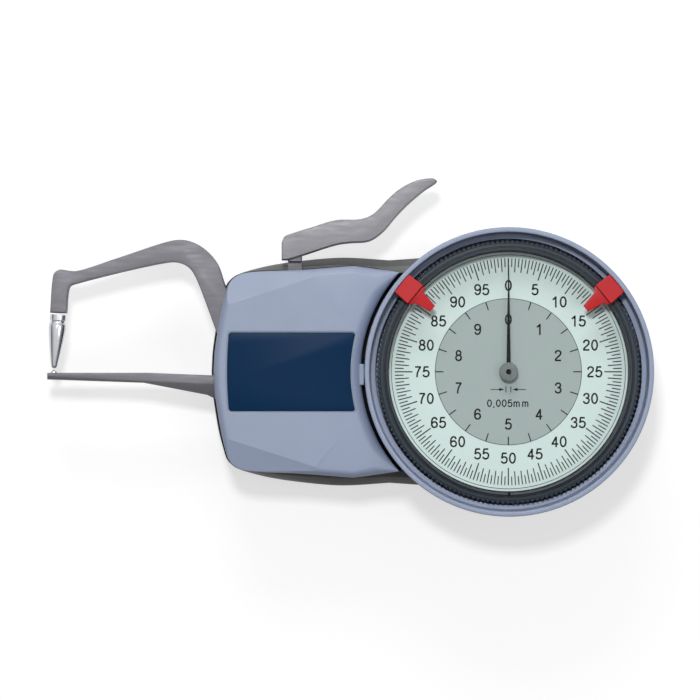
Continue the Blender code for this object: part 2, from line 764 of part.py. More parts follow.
def shell_facet(bm, side):
    """Slopes one outer corner of the front shell away from a crease across its face."""
    start, end = at_shares(SHELL_CREASE_SHARES, SHELL_REACH, side * SHELL_HALF_HEIGHT)
    along = Vector((end[0] - start[0], end[1] - start[1], 0)).normalized()
    outward = Vector((-along.y, along.x, 0)) * side
    normal = outward * sin(SHELL_FACET_TILT) + Vector((0, 0, cos(SHELL_FACET_TILT)))
    geometry = list(bm.verts) + list(bm.edges) + list(bm.faces)
    cut = bmesh.ops.bisect_plane(
        bm, geom=geometry, dist=WELD, plane_co=(*start, FRONT_TOP), plane_no=normal, clear_outer=True
    )
    edges = [item for item in cut["geom_cut"] if isinstance(item, bmesh.types.BMEdge)]
    bmesh.ops.contextual_create(bm, geom=edges)


def sector_window(bottom, top):
    """The way for the sector's blade through the front shell's and the case's walls."""
    low_angle = SECTOR_MIDDLE_ANGLE - OPENING_ANGLE
    near = -PIVOT_X - SHELL_INNER_ARC_R
    far = -PIVOT_X - CASE_BORE_R * cos(SECTOR_MIDDLE_ANGLE)
    half = BLADE_HALF_WIDTH / cos(SECTOR_MIDDLE_ANGLE) + SLOT_CLEARANCE
    low = PIVOT_Y + near * tan(low_angle) - half
    high = PIVOT_Y + far * tan(SECTOR_MIDDLE_ANGLE) + half
    left = -SHELL_INNER_ARC_R - CUT_OVERRUN
    right = -CASE_BORE_R * cos(SECTOR_MIDDLE_ANGLE) + CUT_OVERRUN
    return box((left, low, bottom), (right, high, top))


def make_front_shell(material):
    outline = front_outline()
    near, middle = SHELL_EDGE_RADIUS * EDGE_SHARES[0], SHELL_EDGE_RADIUS * EDGE_SHARES[1]
    levels = [
        (outline, FRONT_BOTTOM),
        (outline, FRONT_TOP - SHELL_EDGE_RADIUS),
        (inset(outline, near), FRONT_TOP - middle),
        (inset(outline, middle), FRONT_TOP - near),
        (inset(outline, SHELL_EDGE_RADIUS), FRONT_TOP),
    ]
    body = stack(levels)
    shell_facet(body, 1)
    shell_facet(body, -1)
    shell = finish_mesh("front_shell", body, material)
    cavity = prism(inset(outline, SHELL_WALL), FRONT_BOTTOM - CUT_OVERRUN, FRONT_CEILING)
    cut_away(shell, cavity, "cavity")
    boss_top = FRONT_CEILING + FRONT_PLATE / 2
    for i, (x, y) in enumerate(HOUSING_SCREWS):
        join_on(shell, cylinder(POST_R, FRONT_BOTTOM, boss_top, x, y, SCREW_SIDES), f"post_{i}")
    join_on(shell, cylinder(BUSH_BOSS_R, BUSH_BOSS_BOTTOM, boss_top, *PIVOT), "pivot_boss")
    bush_hole = cylinder(BUSH_R + RUNNING_GAP, BUSH_BOSS_BOTTOM - CUT_OVERRUN, FRONT_CEILING - GAP, *PIVOT)
    cut_away(shell, bush_hole, "bush_hole")
    for i, (x, y) in enumerate(HOUSING_SCREWS):
        tapped = post_hole(x, y)
        cut_away(shell, tapped, f"tapped_{i}")
    cut_away(shell, moving_arm_slot(), "moving_arm_slot")
    cut_away(shell, fixed_arm_slot(), "fixed_arm_slot")
    cut_away(shell, stem_slot(), "stem_slot")
    cut_away(shell, sector_window(SECTOR_BOTTOM - GAP, SECTOR_TOP + GAP), "sector_window")
    bed = inset(plate_outline(), -GAP)
    cut_away(shell, prism(bed, PLATE_BOTTOM - GAP, FRONT_TOP + CUT_OVERRUN), "plate_bed")
    key = box(
        (-SHELL_ARC_R - SHELL_WALL / 2, -KEY_HALF_LENGTH - KEY_DROP, FRONT_CEILING - KEY_DEPTH),
        (-CASE_R - GAP, KEY_HALF_LENGTH - KEY_DROP, FRONT_CEILING),
    )
    join_on(shell, key, "case_key")
    return shell


def moving_arm_slot():
    """Room in the shell's corner for the moving arm, from closed to fully open."""
    bend = at_shares(MOVING_ARM_SHARES, ARM_SPREAD, ARM_RISE, *PIVOT)[-2]
    right = turned_by(bend, -OPENING_ANGLE, PIVOT)[0] + 2 * SLOT_CLEARANCE
    inner = at_shares(MOVING_ARM_INNER_SHARES, ARM_SPREAD, ARM_RISE, *PIVOT)
    low = max(y for x, y in inner if x > -SHELL_REACH + SHELL_WALL) - SLOT_CLEARANCE
    return box(
        (-SHELL_REACH - CUT_OVERRUN, low, FRONT_BOTTOM - CUT_OVERRUN),
        (right, SHELL_HALF_HEIGHT + CUT_OVERRUN, ARM_TOP + GAP),
    )


def fixed_arm_slot():
    outline = at_shares(FIXED_ARM_SHARES, ARM_SPREAD, FIXED_ARM_DROP, *PIVOT)
    top = outline[2][1] + GAP
    low = outline[9][1] - SLOT_CLEARANCE
    right = -SHELL_REACH + SHELL_WALL + CUT_OVERRUN
    return box(
        (-SHELL_REACH - CUT_OVERRUN, low, FRONT_BOTTOM - CUT_OVERRUN),
        (right, top, ARM_TOP + GAP),
    )


def stem_slot():
    """Room in the shell's upper wall for the lever's stem, from closed to fully open."""
    half = STEM_WIDTH / 2 + SLOT_CLEARANCE
    swing = SHELL_HALF_HEIGHT * sin(OPENING_ANGLE)
    return box(
        (PIVOT_X - half, HUB_R * 2, FRONT_BOTTOM - CUT_OVERRUN),
        (PIVOT_X + half + swing, SHELL_HALF_HEIGHT + CUT_OVERRUN, ARM_TOP + GAP),
    )


def plate_outline():
    """The name plate: a straight top and bottom, a bulged left side and a right side round the dial."""
    corner_y = PLATE_HALF_HEIGHT - PLATE_CORNER
    heights = [corner_y * share for share in PLATE_SIDE_SHARES]
    left = [(-PLATE_LEFT - PLATE_BULGE * (1 - (y / PLATE_HALF_HEIGHT) ** 2), y) for y in heights]
    end_angle = asin(corner_y / PLATE_DIAL_GAP)
    right = arc(PLATE_DIAL_GAP, pi + end_angle, pi - end_angle, PLATE_ARC_STEPS)
    bottom = [
        (-PLATE_LEFT + PLATE_CORNER, -PLATE_HALF_HEIGHT),
        (right[0][0] - PLATE_CORNER, -PLATE_HALF_HEIGHT),
    ]
    top = [(right[-1][0] - PLATE_CORNER, PLATE_HALF_HEIGHT), (-PLATE_LEFT + PLATE_CORNER, PLATE_HALF_HEIGHT)]
    return left + bottom + right + top


PLATE_TOP = FRONT_TOP + PLATE_PROUD
PLATE_BOTTOM = PLATE_TOP - PLATE_DEPTH


def make_name_plate(material):
    return finish_mesh("name_plate", prism(plate_outline(), PLATE_BOTTOM, PLATE_TOP), material)


def make_dial_case(material):
    rim_inner_r = CASE_R - RIM_WALL
    ledge_r = CASE_BORE_R - CASE_LEDGE_WIDTH
    trough_top = RIM_TOP - TROUGH_DEPTH
    profile = [
        (CASE_R, FRONT_BOTTOM),
        (CASE_R, RIM_TOP - RIM_EDGE_RADIUS),
        (CASE_R - RIM_EDGE_RADIUS, RIM_TOP),
        (rim_inner_r + RIM_EDGE_RADIUS, RIM_TOP),
        (rim_inner_r, RIM_TOP - RIM_EDGE_RADIUS),
        (rim_inner_r, trough_top),
        (CASE_BORE_R, trough_top - TROUGH_FALL),
        (CASE_BORE_R, LEDGE_TOP),
        (ledge_r, LEDGE_TOP),
        (ledge_r, LEDGE_TOP - CASE_LEDGE_DEPTH),
        (CASE_BORE_R, LEDGE_TOP - CASE_LEDGE_DEPTH),
        (CASE_BORE_R, FRONT_BOTTOM),
    ]
    case = finish_mesh("dial_case", turned(profile, ROUND_SIDES), material)
    for i, (x, y) in enumerate(CASE_SCREWS):
        post = cylinder(CASE_POST_R, FRONT_BOTTOM, BRIDGE_BOTTOM - GAP, x, y, SCREW_SIDES)
        join_on(case, post, f"post_{i}")
        tapped = post_hole(x, y)
        cut_away(case, tapped, f"tapped_{i}")
    cut_away(case, sector_window(SECTOR_BOTTOM - GAP, SECTOR_TOP + GAP), "sector_window")
    return case


def make_base_plate(material):
    """A round plate under the dial with a strip that runs to the arms."""
    half_angle = asin(BASE_STRIP_HALF_HEIGHT / BASE_DISC_R)
    disc = arc(BASE_DISC_R, half_angle - pi, pi - half_angle, REAR_ARC_STEPS)
    strip = [(-BASE_STRIP_LEFT, BASE_STRIP_HALF_HEIGHT), (-BASE_STRIP_LEFT, -BASE_STRIP_HALF_HEIGHT)]
    plate = finish_mesh("base_plate", prism(disc + strip, BASE_BOTTOM, BASE_TOP), material)
    holes = [(PIVOT, BUSH_R + RUNNING_GAP)]
    holes += [(place, ARBOR_PIVOT_R + RUNNING_GAP) for place in (CENTRE, TRANSFER, TAKE_UP)]
    holes += [(place, SCREW_HOLE_R) for place in FIXED_SCREWS + BASE_SCREWS]
    holes += [(place, PILLAR_SPIGOT_R + RUNNING_GAP) for place in PILLARS]
    holes += [(SPRING_POST, SPRING_PIN_R + RUNNING_GAP)]
    for i, (place, radius) in enumerate(holes):
        hole = cylinder(radius, BASE_BOTTOM - CUT_OVERRUN, BASE_TOP + CUT_OVERRUN, *place, SCREW_SIDES)
        cut_away(plate, hole, f"hole_{i}")
    return plate


def make_bridge(material):
    plate = prism(circle(BRIDGE_R, ROUND_SIDES), BRIDGE_BOTTOM, BRIDGE_TOP)
    bridge = finish_mesh("movement_bridge", plate, material)
    holes = [(CENTRE, TUBE_OUTER_R + RUNNING_GAP)]
    holes += [(place, ARBOR_PIVOT_R + RUNNING_GAP) for place in (TRANSFER, TAKE_UP)]
    holes += [(place, BRIDGE_SCREW_R + RUNNING_GAP) for place in PILLARS]
    for i, (place, radius) in enumerate(holes):
        hole = cylinder(radius, BRIDGE_BOTTOM - CUT_OVERRUN, BRIDGE_TOP + CUT_OVERRUN, *place, SCREW_SIDES)
        cut_away(bridge, hole, f"hole_{i}")
    return bridge


def make_pillar(name, place, material):
    """A pillar with a spigot in the base plate and a tapped top for its bridge screw."""
    top = BRIDGE_BOTTOM - GAP
    hole_r = BRIDGE_SCREW_R + RUNNING_GAP
    profile = [
        (0.0, BASE_BOTTOM + GAP),
        (PILLAR_SPIGOT_R, BASE_BOTTOM + GAP),
        (PILLAR_SPIGOT_R, BASE_TOP + GAP),
        (PILLAR_R, BASE_TOP + GAP),
        (PILLAR_R, top),
        (hole_r, top),
        (hole_r, top - PILLAR_BITE - GAP),
        (0.0, top - PILLAR_BITE - GAP),
    ]
    return finish_mesh(name, turned(profile, SCREW_SIDES, *place), material)


def make_back_screw(name, place, material):
    """A screw driven in from the back, through the rear shell into a post."""
    length = FRONT_BOTTOM + SCREW_BITE - SCREW_HEAD_SEAT
    bm = screw(SCREW_R, length, SCREW_HEAD_R, SCREW_HEAD_DEPTH, *place, SCREW_HEAD_SEAT, True)
    return finish_mesh(name, bm, material)


def make_support_screw(name, place, seat, head_r, material):
    """A screw driven down through the base plate into its support on the rear shell."""
    length = seat - BASE_BOTTOM + SCREW_BITE - 2 * GAP
    bm = screw(SCREW_R, length, head_r, LOW_HEAD_DEPTH, *place, seat, False)
    return finish_mesh(name, bm, material)


def make_bridge_screw(name, place, material):
    length = BRIDGE_DEPTH + PILLAR_BITE
    seat = BRIDGE_TOP + GAP
    bm = screw(BRIDGE_SCREW_R, length, BRIDGE_SCREW_HEAD_R, LOW_HEAD_DEPTH, *place, seat, False)
    return finish_mesh(name, bm, material)


def make_bush(name, bottom, top, material):
    profile = [
        (BUSH_R, bottom),
        (BUSH_R, top),
        (PIVOT_R + RUNNING_GAP, top),
        (PIVOT_R + RUNNING_GAP, bottom),
    ]
    return finish_mesh(name, turned(profile, SMALL_SIDES, *PIVOT), material)


def fixed_arm_facet():
    """The wedge that is cut off the fixed arm's lower front edge, toward its end."""
    start, end = at_shares(FIXED_FACET_SHARES, ARM_SPREAD, FIXED_ARM_DROP, *PIVOT)
    left = start[0] - CUT_OVERRUN
    low = end[1] - FIXED_FACET_REACH
    levels = []
    for height in (ARM_TOP - FIXED_FACET_DEPTH, ARM_TOP + CUT_OVERRUN):
        shift = (ARM_TOP - height) * tan(FIXED_FACET_TILT)
        outline = [(left, start[1] - shift), (end[0], end[1] - shift), (end[0], low), (left, low)]
        levels.append((outline, height))
    return stack(levels)


def make_fixed_arm(material):
    outline = at_shares(FIXED_ARM_SHARES, ARM_SPREAD, FIXED_ARM_DROP, *PIVOT)
    arm = finish_mesh("fixed_arm", prism(outline, ARM_BOTTOM, ARM_TOP), material)
    cut_away(arm, fixed_arm_facet(), "facet")
    for i, place in enumerate(FIXED_SCREWS):
        hole = cylinder(SCREW_HOLE_R, ARM_BOTTOM - CUT_OVERRUN, ARM_TOP + CUT_OVERRUN, *place, SCREW_SIDES)
        cut_away(arm, hole, f"hole_{i}")
    seat = cylinder(
        ANVIL_SHANK_R + RUNNING_GAP, 0.0, ANVIL_SHANK_LENGTH + GAP + CUT_OVERRUN, sides=ANVIL_SIDES
    )
    low = ANVIL_SEAT - ANVIL_SHANK_LENGTH - GAP
    cut_away(arm, lay_along(seat, (CONTACT_X, low, ARM_MIDDLE), (0, 1, 0)), "anvil_seat")
    return arm


ANVIL_SEAT = PIVOT_Y + FIXED_ARM_SHARES[0][1] * FIXED_ARM_DROP


def make_fixed_anvil(material):
    """A small domed contact, set in the fixed arm."""
    rise = ANVIL_TOP - ANVIL_SEAT - RUNNING_GAP
    angles = [pi / 2 * i / DOME_STEPS for i in range(DOME_STEPS)]
    profile = [
        (0.0, -ANVIL_SHANK_LENGTH),
        (ANVIL_SHANK_R, -ANVIL_SHANK_LENGTH),
        (ANVIL_SHANK_R, RUNNING_GAP),
    ]
    profile += [(ANVIL_R * cos(angle), RUNNING_GAP + rise * sin(angle)) for angle in angles]
    profile += [(0.0, RUNNING_GAP + rise)]
    bm = lay_along(turned(profile, ANVIL_SIDES), (CONTACT_X, ANVIL_SEAT, ARM_MIDDLE), (0, 1, 0))
    return finish_mesh("fixed_anvil", bm, material)


def moving_arm_outline():
    outer = flowing(at_shares(MOVING_ARM_SHARES, ARM_SPREAD, ARM_RISE, *PIVOT), CURVE_STEPS)
    inner = flowing(at_shares(MOVING_ARM_INNER_SHARES, ARM_SPREAD, ARM_RISE, *PIVOT), CURVE_STEPS)
    stem_half = STEM_WIDTH / 2
    stem_angle = acos(stem_half / HUB_R)
    stem_foot = HUB_R * sin(stem_angle)
    lobe_angle = acos(SPRING_LOBE_R / HUB_R)
    outline = list(outer)
    outline += [polar(HUB_R, HUB_SHOULDER_ANGLE, *PIVOT)]
    outline += [
        (PIVOT_X - stem_half, PIVOT_Y + stem_foot),
        (PIVOT_X - stem_half, STEM_TOP),
        (PIVOT_X + stem_half, STEM_TOP),
    ]
    outline += arc(HUB_R, stem_angle, -lobe_angle, HUB_STEPS, *PIVOT)
    outline += arc(SPRING_LOBE_R, 0.0, -pi, LOBE_STEPS, *SPRING_PIN)
    outline += arc(HUB_R, lobe_angle - pi, HUB_HEEL_ANGLE - 2 * pi, LOBE_STEPS, *PIVOT)
    return outline + inner


def make_moving_arm(material, pivot):
    arm = finish_mesh("moving_arm", prism(moving_arm_outline(), ARM_BOTTOM, ARM_TOP), material, pivot)
    through = (ARM_BOTTOM - CUT_OVERRUN, ARM_TOP + CUT_OVERRUN)
    cut_away(arm, cylinder(PIVOT_R + RUNNING_GAP, *through, *PIVOT), "pivot_hole")
    lever_hole = cylinder(LEVER_SCREW_SHANK_R + RUNNING_GAP, *through, *LEVER_SCREW, SCREW_SIDES)
    cut_away(arm, lever_hole, "lever_hole")
    pin_hole_r = SPRING_PIN_R + RUNNING_GAP
    pin_hole = cylinder(pin_hole_r, ARM_MIDDLE - GAP, ARM_TOP + CUT_OVERRUN, *SPRING_PIN, SCREW_SIDES)
    cut_away(arm, pin_hole, "pin_hole")
    for i, place in enumerate(sector_screw_places()):
        low = ARM_TOP - SECTOR_SCREW_BITE - GAP
        hole = cylinder(SECTOR_SCREW_R + RUNNING_GAP, low, ARM_TOP + CUT_OVERRUN, *place, SCREW_SIDES)
        cut_away(arm, hole, f"sector_hole_{i}")
    socket = cylinder(TIP_SHANK_R + RUNNING_GAP, -CUT_OVERRUN, TIP_SHANK_LENGTH + GAP)
    cut_away(arm, lay_along(socket, TIP_SEAT, TIP_AXIS), "tip_socket")
    return arm


LEVER_SCREW = (PIVOT_X, LEVER_SCREW_HEIGHT)
TIP_AXIS = (sin(TIP_TILT), cos(TIP_TILT), 0.0)
TIP_SEAT = (
    CONTACT_X + TIP_AXIS[0] * (TIP_LENGTH + GAP),
    TIP_LOW + TIP_AXIS[1] * (TIP_LENGTH + GAP),
    ARM_MIDDLE,
)


def make_contact_tip(material, pivot):
    """The slim contact: a round end, a long taper, a short neck and a shank in the arm."""
    swell = TIP_WIDE_R - TIP_END_R
    profile = [(0.0, 0.0)]
    profile += [(TIP_END_R + swell * width, TIP_LENGTH * height) for height, width in TIP_PROFILE_SHARES]
    profile += [
        (TIP_NECK_R, TIP_LENGTH),
        (TIP_SHANK_R, TIP_LENGTH),
        (TIP_SHANK_R, TIP_LENGTH + TIP_SHANK_LENGTH),
        (0.0, TIP_LENGTH + TIP_SHANK_LENGTH),
    ]
    bm = lay_along(turned(profile, SMALL_SIDES), (CONTACT_X, TIP_LOW, ARM_MIDDLE), TIP_AXIS)
    return finish_mesh("contact_tip", bm, material, pivot)


def make_pivot_shaft(material, pivot):
    bm = cylinder(PIVOT_R, BASE_BOTTOM + GAP, FRONT_CEILING - 2 * GAP, *PIVOT)
    return finish_mesh("pivot_shaft", bm, material, pivot)


def sector_screw_places():
    return [
        polar(SECTOR_SCREW_RING_R, SECTOR_MIDDLE_ANGLE + side * pi / 2, *PIVOT) for side in (-1, 1)
    ]


def make_sector_gear(material, pivot):
    """A hub plate, a slim blade and a toothed rim that drives the transfer pinion."""
    middle = SECTOR_MIDDLE_ANGLE
    hub_r = HUB_R - RUNNING_GAP
    rim_r = SECTOR_PITCH_R - SECTOR_RIM_WIDTH
    half_rim = SECTOR_TOOTH_ANGLE * (SECTOR_LAST_TOOTH - SECTOR_FIRST_TOOTH + 1) / 2
    hub_edge = asin(BLADE_HALF_WIDTH * HUB_FLARE_SHARE / hub_r)
    near_edge = asin(BLADE_HALF_WIDTH / BLADE_NEAR_R)
    far_edge = asin(BLADE_HALF_WIDTH / BLADE_FAR_R)
    outline = arc(hub_r, middle + hub_edge, middle + 2 * pi - hub_edge, SECTOR_HUB_STEPS, *PIVOT)
    outline += [
        polar(BLADE_NEAR_R, middle - near_edge, *PIVOT),
        polar(BLADE_FAR_R, middle - far_edge, *PIVOT),
        polar(rim_r, middle - half_rim, *PIVOT),
    ]
    for number in range(SECTOR_FIRST_TOOTH, SECTOR_LAST_TOOTH + 1):
        angle = SECTOR_MESH_ANGLE + number * SECTOR_TOOTH_ANGLE
        outline += tooth(SECTOR_PITCH_R, angle, SECTOR_TOOTH_ANGLE, WHEEL_TOOTH_SHARES, *PIVOT)
    outline += [
        polar(rim_r, middle + half_rim, *PIVOT),
        polar(BLADE_FAR_R, middle + far_edge, *PIVOT),
        polar(BLADE_NEAR_R, middle + near_edge, *PIVOT),
    ]
    sector = finish_mesh("sector_gear", prism(outline, SECTOR_BOTTOM, SECTOR_TOP), material, pivot)
    through = (SECTOR_BOTTOM - CUT_OVERRUN, SECTOR_TOP + CUT_OVERRUN)
    cut_away(sector, cylinder(PIVOT_R + RUNNING_GAP, *through, *PIVOT), "pivot_hole")
    for i, place in enumerate(sector_screw_places()):
        hole = cylinder(SECTOR_SCREW_R + RUNNING_GAP, *through, *place, SCREW_SIDES)
        cut_away(sector, hole, f"screw_hole_{i}")
    return sector


def make_sector_screws(material, pivot):
    seat = SECTOR_TOP + RUNNING_GAP
    length = seat - ARM_TOP + SECTOR_SCREW_BITE
    for i, place in enumerate(sector_screw_places()):
        bm = screw(SECTOR_SCREW_R, length, SECTOR_SCREW_HEAD_R, LOW_HEAD_DEPTH, *place, seat, False)
        finish_mesh(f"sector_screw_{i + 1}", bm, material, pivot)


def make_lift_lever(material, pivot):
    """The thumb lever, with a socket for the stem and a screw pocket in its back."""
    outline = at_shares(LEVER_OUTLINE_SHARES, LEVER_LENGTH, LEVER_HEIGHT, LEVER_LEFT, LEVER_LOW)
    outline = flowing(outline[1:], CURVE_STEPS) + [outline[0]]
    half = LEVER_DEPTH / 2
    edge = LEVER_EDGE_RADIUS
    levels = [
        (inset(outline, edge), ARM_MIDDLE - half),
        (outline, ARM_MIDDLE - half + edge),
        (outline, ARM_MIDDLE + half - edge),
        (inset(outline, edge), ARM_MIDDLE + half),
    ]
    lever = finish_mesh("lift_lever", stack(levels), material, pivot)
    stem_half = STEM_WIDTH / 2 + GAP
    socket = box(
        (PIVOT_X - stem_half, LEVER_LOW - CUT_OVERRUN, ARM_BOTTOM - GAP),
        (PIVOT_X + stem_half, STEM_TOP + GAP, ARM_TOP + GAP),
    )
    cut_away(lever, socket, "socket")
    back = ARM_MIDDLE - half - CUT_OVERRUN
    head_hole = cylinder(LEVER_SCREW_HEAD_R + GAP, back, lever_screw_seat(), *LEVER_SCREW, SCREW_SIDES)
    cut_away(lever, head_hole, "head_hole")
    shank_top = lever_screw_end() + GAP
    shank_hole = cylinder(LEVER_SCREW_SHANK_R + RUNNING_GAP, back, shank_top, *LEVER_SCREW, SCREW_SIDES)
    cut_away(lever, shank_hole, "shank_hole")
    return lever


def lever_screw_seat():
    return ARM_MIDDLE - LEVER_DEPTH / 2 + LEVER_SCREW_HEAD_DEPTH + GAP


def lever_screw_end():
    """The screw's point, half way through the lever's front wall."""
    return (ARM_TOP + ARM_MIDDLE + LEVER_DEPTH / 2) / 2


def make_lever_screw(material, pivot):
    underside = lever_screw_seat() - RUNNING_GAP
    length = lever_screw_end() - underside
    head_depth = LEVER_SCREW_HEAD_DEPTH
    bm = screw(LEVER_SCREW_SHANK_R, length, LEVER_SCREW_HEAD_R, head_depth, *LEVER_SCREW, underside, True)
    return finish_mesh("lever_screw", bm, material, pivot)


def make_spring_pin(name, place, bottom, material, pivot=None):
    top = SPRING_LEVEL + RETURN_COIL_R
    return finish_mesh(name, cylinder(SPRING_PIN_R, bottom, top, *place, SCREW_SIDES), material, pivot)


def tube(points, radius):
    """A round wire through points, with closed ends."""
    rings = []
    bm = bmesh.new()
    normal = (points[1] - points[0]).orthogonal()
    for i, point in enumerate(points):
        tangent = (points[min(i + 1, len(points) - 1)] - points[max(i - 1, 0)]).normalized()
        normal = (normal - tangent * normal.dot(tangent)).normalized()
        across = tangent.cross(normal)
        ring = [point + radius * (x * normal + y * across) for x, y in circle(1.0, WIRE_SIDES)]
        rings.append([bm.verts.new(place) for place in ring])
    for low, high in zip(rings, rings[1:]):
        for i in range(WIRE_SIDES):
            j = (i + 1) % WIRE_SIDES
            bm.faces.new((low[i], low[j], high[j], high[i]))
    bm.faces.new(list(reversed(rings[0])))
    bm.faces.new(rings[-1])
    return bm


def make_return_spring(material, pivot):
    """A tension spring with an open hook round a pin at each end."""
    start, end = Vector((*SPRING_PIN, SPRING_LEVEL)), Vector((*SPRING_POST, SPRING_LEVEL))
    length = (end - start).length
    along = (end - start).normalized()
    side = Vector((-along.y, along.x, 0))
    up = Vector((0, 0, 1))
    hook_r = SPRING_PIN_R + GAP + RETURN_WIRE_R
    coil_length = length * RETURN_COIL_SHARE
    coil_start = (length - coil_length) / 2
    points = hook(start, along * -1, side, hook_r)
    count = RETURN_TURNS * COIL_TURN_POINTS
    for i in range(count + 1):
        turn = 2 * pi * i / COIL_TURN_POINTS
        middle = start + along * (coil_start + coil_length * i / count)
        points.append(middle + RETURN_COIL_R * (cos(turn) * side + sin(turn) * up))
    points += reversed(hook(end, along, side, hook_r))
    return finish_mesh("return_spring", tube(points, RETURN_WIRE_R), material, pivot)


def hook(centre, away, side, radius):
    """Points of an open hook, from its free end round the far side to where the wire leaves it."""
    points = []
    for i in range(HOOK_POINTS + 1):
        angle = pi / 2 - HOOK_SWEEP * (1 - i / HOOK_POINTS)
        points.append(centre + radius * (cos(angle) * away + sin(angle) * side))
    return points


def make_arbor(name, place, gear_bottom, gear_top, gap_angle, upper, material, pivot):
    """An arbor with a pivot at its foot and pinion leaves cut in it. Above them it runs as upper says."""
    count = PINION_TEETH * 4
    leaves = []
    for i in range(PINION_TEETH):
        angle = gap_angle + LEAF_ANGLE * (i + 1 / 2)
        leaves += tooth(PINION_PITCH_R, angle, LEAF_ANGLE, PINION_TOOTH_SHARES, *place)
    turn = gap_angle + LEAF_ANGLE / 2 - LEAF_ANGLE * 3 / 8
    body = circle(ARBOR_R, count, *place, turn)
    thin = circle(ARBOR_PIVOT_R, count, *place, turn)
    levels = [
        (thin, ARBOR_FOOT),
        (thin, ARBOR_SHOULDER),
        (body, ARBOR_SHOULDER),
        (body, gear_bottom),
        (leaves, gear_bottom),
        (leaves, gear_top),
        (body, gear_top),
    ]
    for radius, height in upper:
        levels.append((circle(radius, count, *place, turn), height))
    return finish_mesh(name, stack(levels), material, pivot)


def make_plain_arbor(name, place, material, pivot):
    profile = [
        (0.0, ARBOR_FOOT),
        (ARBOR_PIVOT_R, ARBOR_FOOT),
        (ARBOR_PIVOT_R, ARBOR_SHOULDER),
        (ARBOR_R, ARBOR_SHOULDER),
        (ARBOR_R, ARBOR_NECK),
        (ARBOR_PIVOT_R, ARBOR_NECK),
        (ARBOR_PIVOT_R, ARBOR_HEAD),
        (0.0, ARBOR_HEAD),
    ]
    return finish_mesh(name, turned(profile, SCREW_SIDES, *place), material, pivot)


def make_wheel(name, teeth, place, tooth_angle, bottom, pivot):
    """A flat brass wheel on its arbor, with one tooth at the angle."""
    outline = gear_outline(teeth, WHEEL_TOOTH_SHARES, *place, tooth_angle)
    top = bottom + WHEEL_DEPTH
    wheel = finish_mesh(name, prism(outline, bottom, top), paint(name, "brass"), pivot)
    bore = cylinder(ARBOR_R + RUNNING_GAP, bottom - CUT_OVERRUN, top + CUT_OVERRUN, *place)
    cut_away(wheel, bore, "bore")
    return wheel


def make_counter_wheel(material, pivot):
    """The counter wheel and the tube that carries its hand, in one piece."""
    pitch_angle = 2 * pi / COUNTER_TEETH
    outline = gear_outline(COUNTER_TEETH, WHEEL_TOOTH_SHARES, *CENTRE, CENTRE_MESH_ANGLE + pitch_angle / 2)
    wheel = finish_mesh("counter_wheel", prism(outline, COUNTER_BOTTOM, COUNTER_TOP), material, pivot)
    top = COUNTER_HAND_TOP + RUNNING_GAP / 2
    join_on(wheel, cylinder(TUBE_OUTER_R, COUNTER_BOTTOM + WHEEL_DEPTH / 2, top), "tube")
    cut_away(wheel, cylinder(TUBE_INNER_R, COUNTER_BOTTOM - CUT_OVERRUN, top + CUT_OVERRUN), "bore")
    return wheel


def hand_outline(boss_r, width, tip_width, length):
    edge = asin(width / 2 / boss_r)
    boss = arc(boss_r, pi / 2 + edge, pi / 2 + 2 * pi - edge, HAND_BOSS_STEPS)
    return boss + [(tip_width / 2, length), (-tip_width / 2, length)]


def make_hand(name, outline, bottom, depth, bore_r, material, pivot):
    hand = finish_mesh(name, prism(outline, bottom, bottom + depth), material, pivot)
    cut_away(hand, cylinder(bore_r, bottom - CUT_OVERRUN, bottom + depth + CUT_OVERRUN), "bore")
    return hand


def make_hand_hub(material, pivot):
    bore_r = ARBOR_R + RUNNING_GAP
    profile = [
        (HAND_HUB_R, HAND_HUB_BOTTOM),
        (HAND_HUB_R, HAND_HUB_TOP - BEZEL_EDGE),
        (HAND_HUB_R - BEZEL_EDGE, HAND_HUB_TOP),
        (bore_r, HAND_HUB_TOP),
        (bore_r, HAND_HUB_BOTTOM),
    ]
    return finish_mesh("hand_hub", turned(profile, SMALL_SIDES), material, pivot)


def make_hairspring(material, pivot):
    """A flat spiral from the take-up arbor out to its stud."""
    count = HAIRSPRING_TURNS * HAIRSPRING_TURN_POINTS
    points = []
    for i in range(count + 1):
        radius = HAIRSPRING_INNER_R + (HAIRSPRING_OUTER_R - HAIRSPRING_INNER_R) * i / count
        angle = TAKE_UP_ANGLE + 2 * pi * i / HAIRSPRING_TURN_POINTS
        points.append(Vector((*polar(radius, angle, *TAKE_UP), HAIRSPRING_LEVEL)))
    return finish_mesh("hairspring", tube(points, HAIRSPRING_WIRE_R), material, pivot)


def make_hairspring_stud(material):
    distance = HAIRSPRING_OUTER_R + HAIRSPRING_WIRE_R + GAP + HAIRSPRING_STUD_R
    place = polar(distance, TAKE_UP_ANGLE, *TAKE_UP)
    low = HAIRSPRING_LEVEL - HAIRSPRING_STUD_R
    stud = cylinder(HAIRSPRING_STUD_R, low, BRIDGE_BOTTOM - GAP, *place, SCREW_SIDES)
    return finish_mesh("hairspring_stud", stud, material)


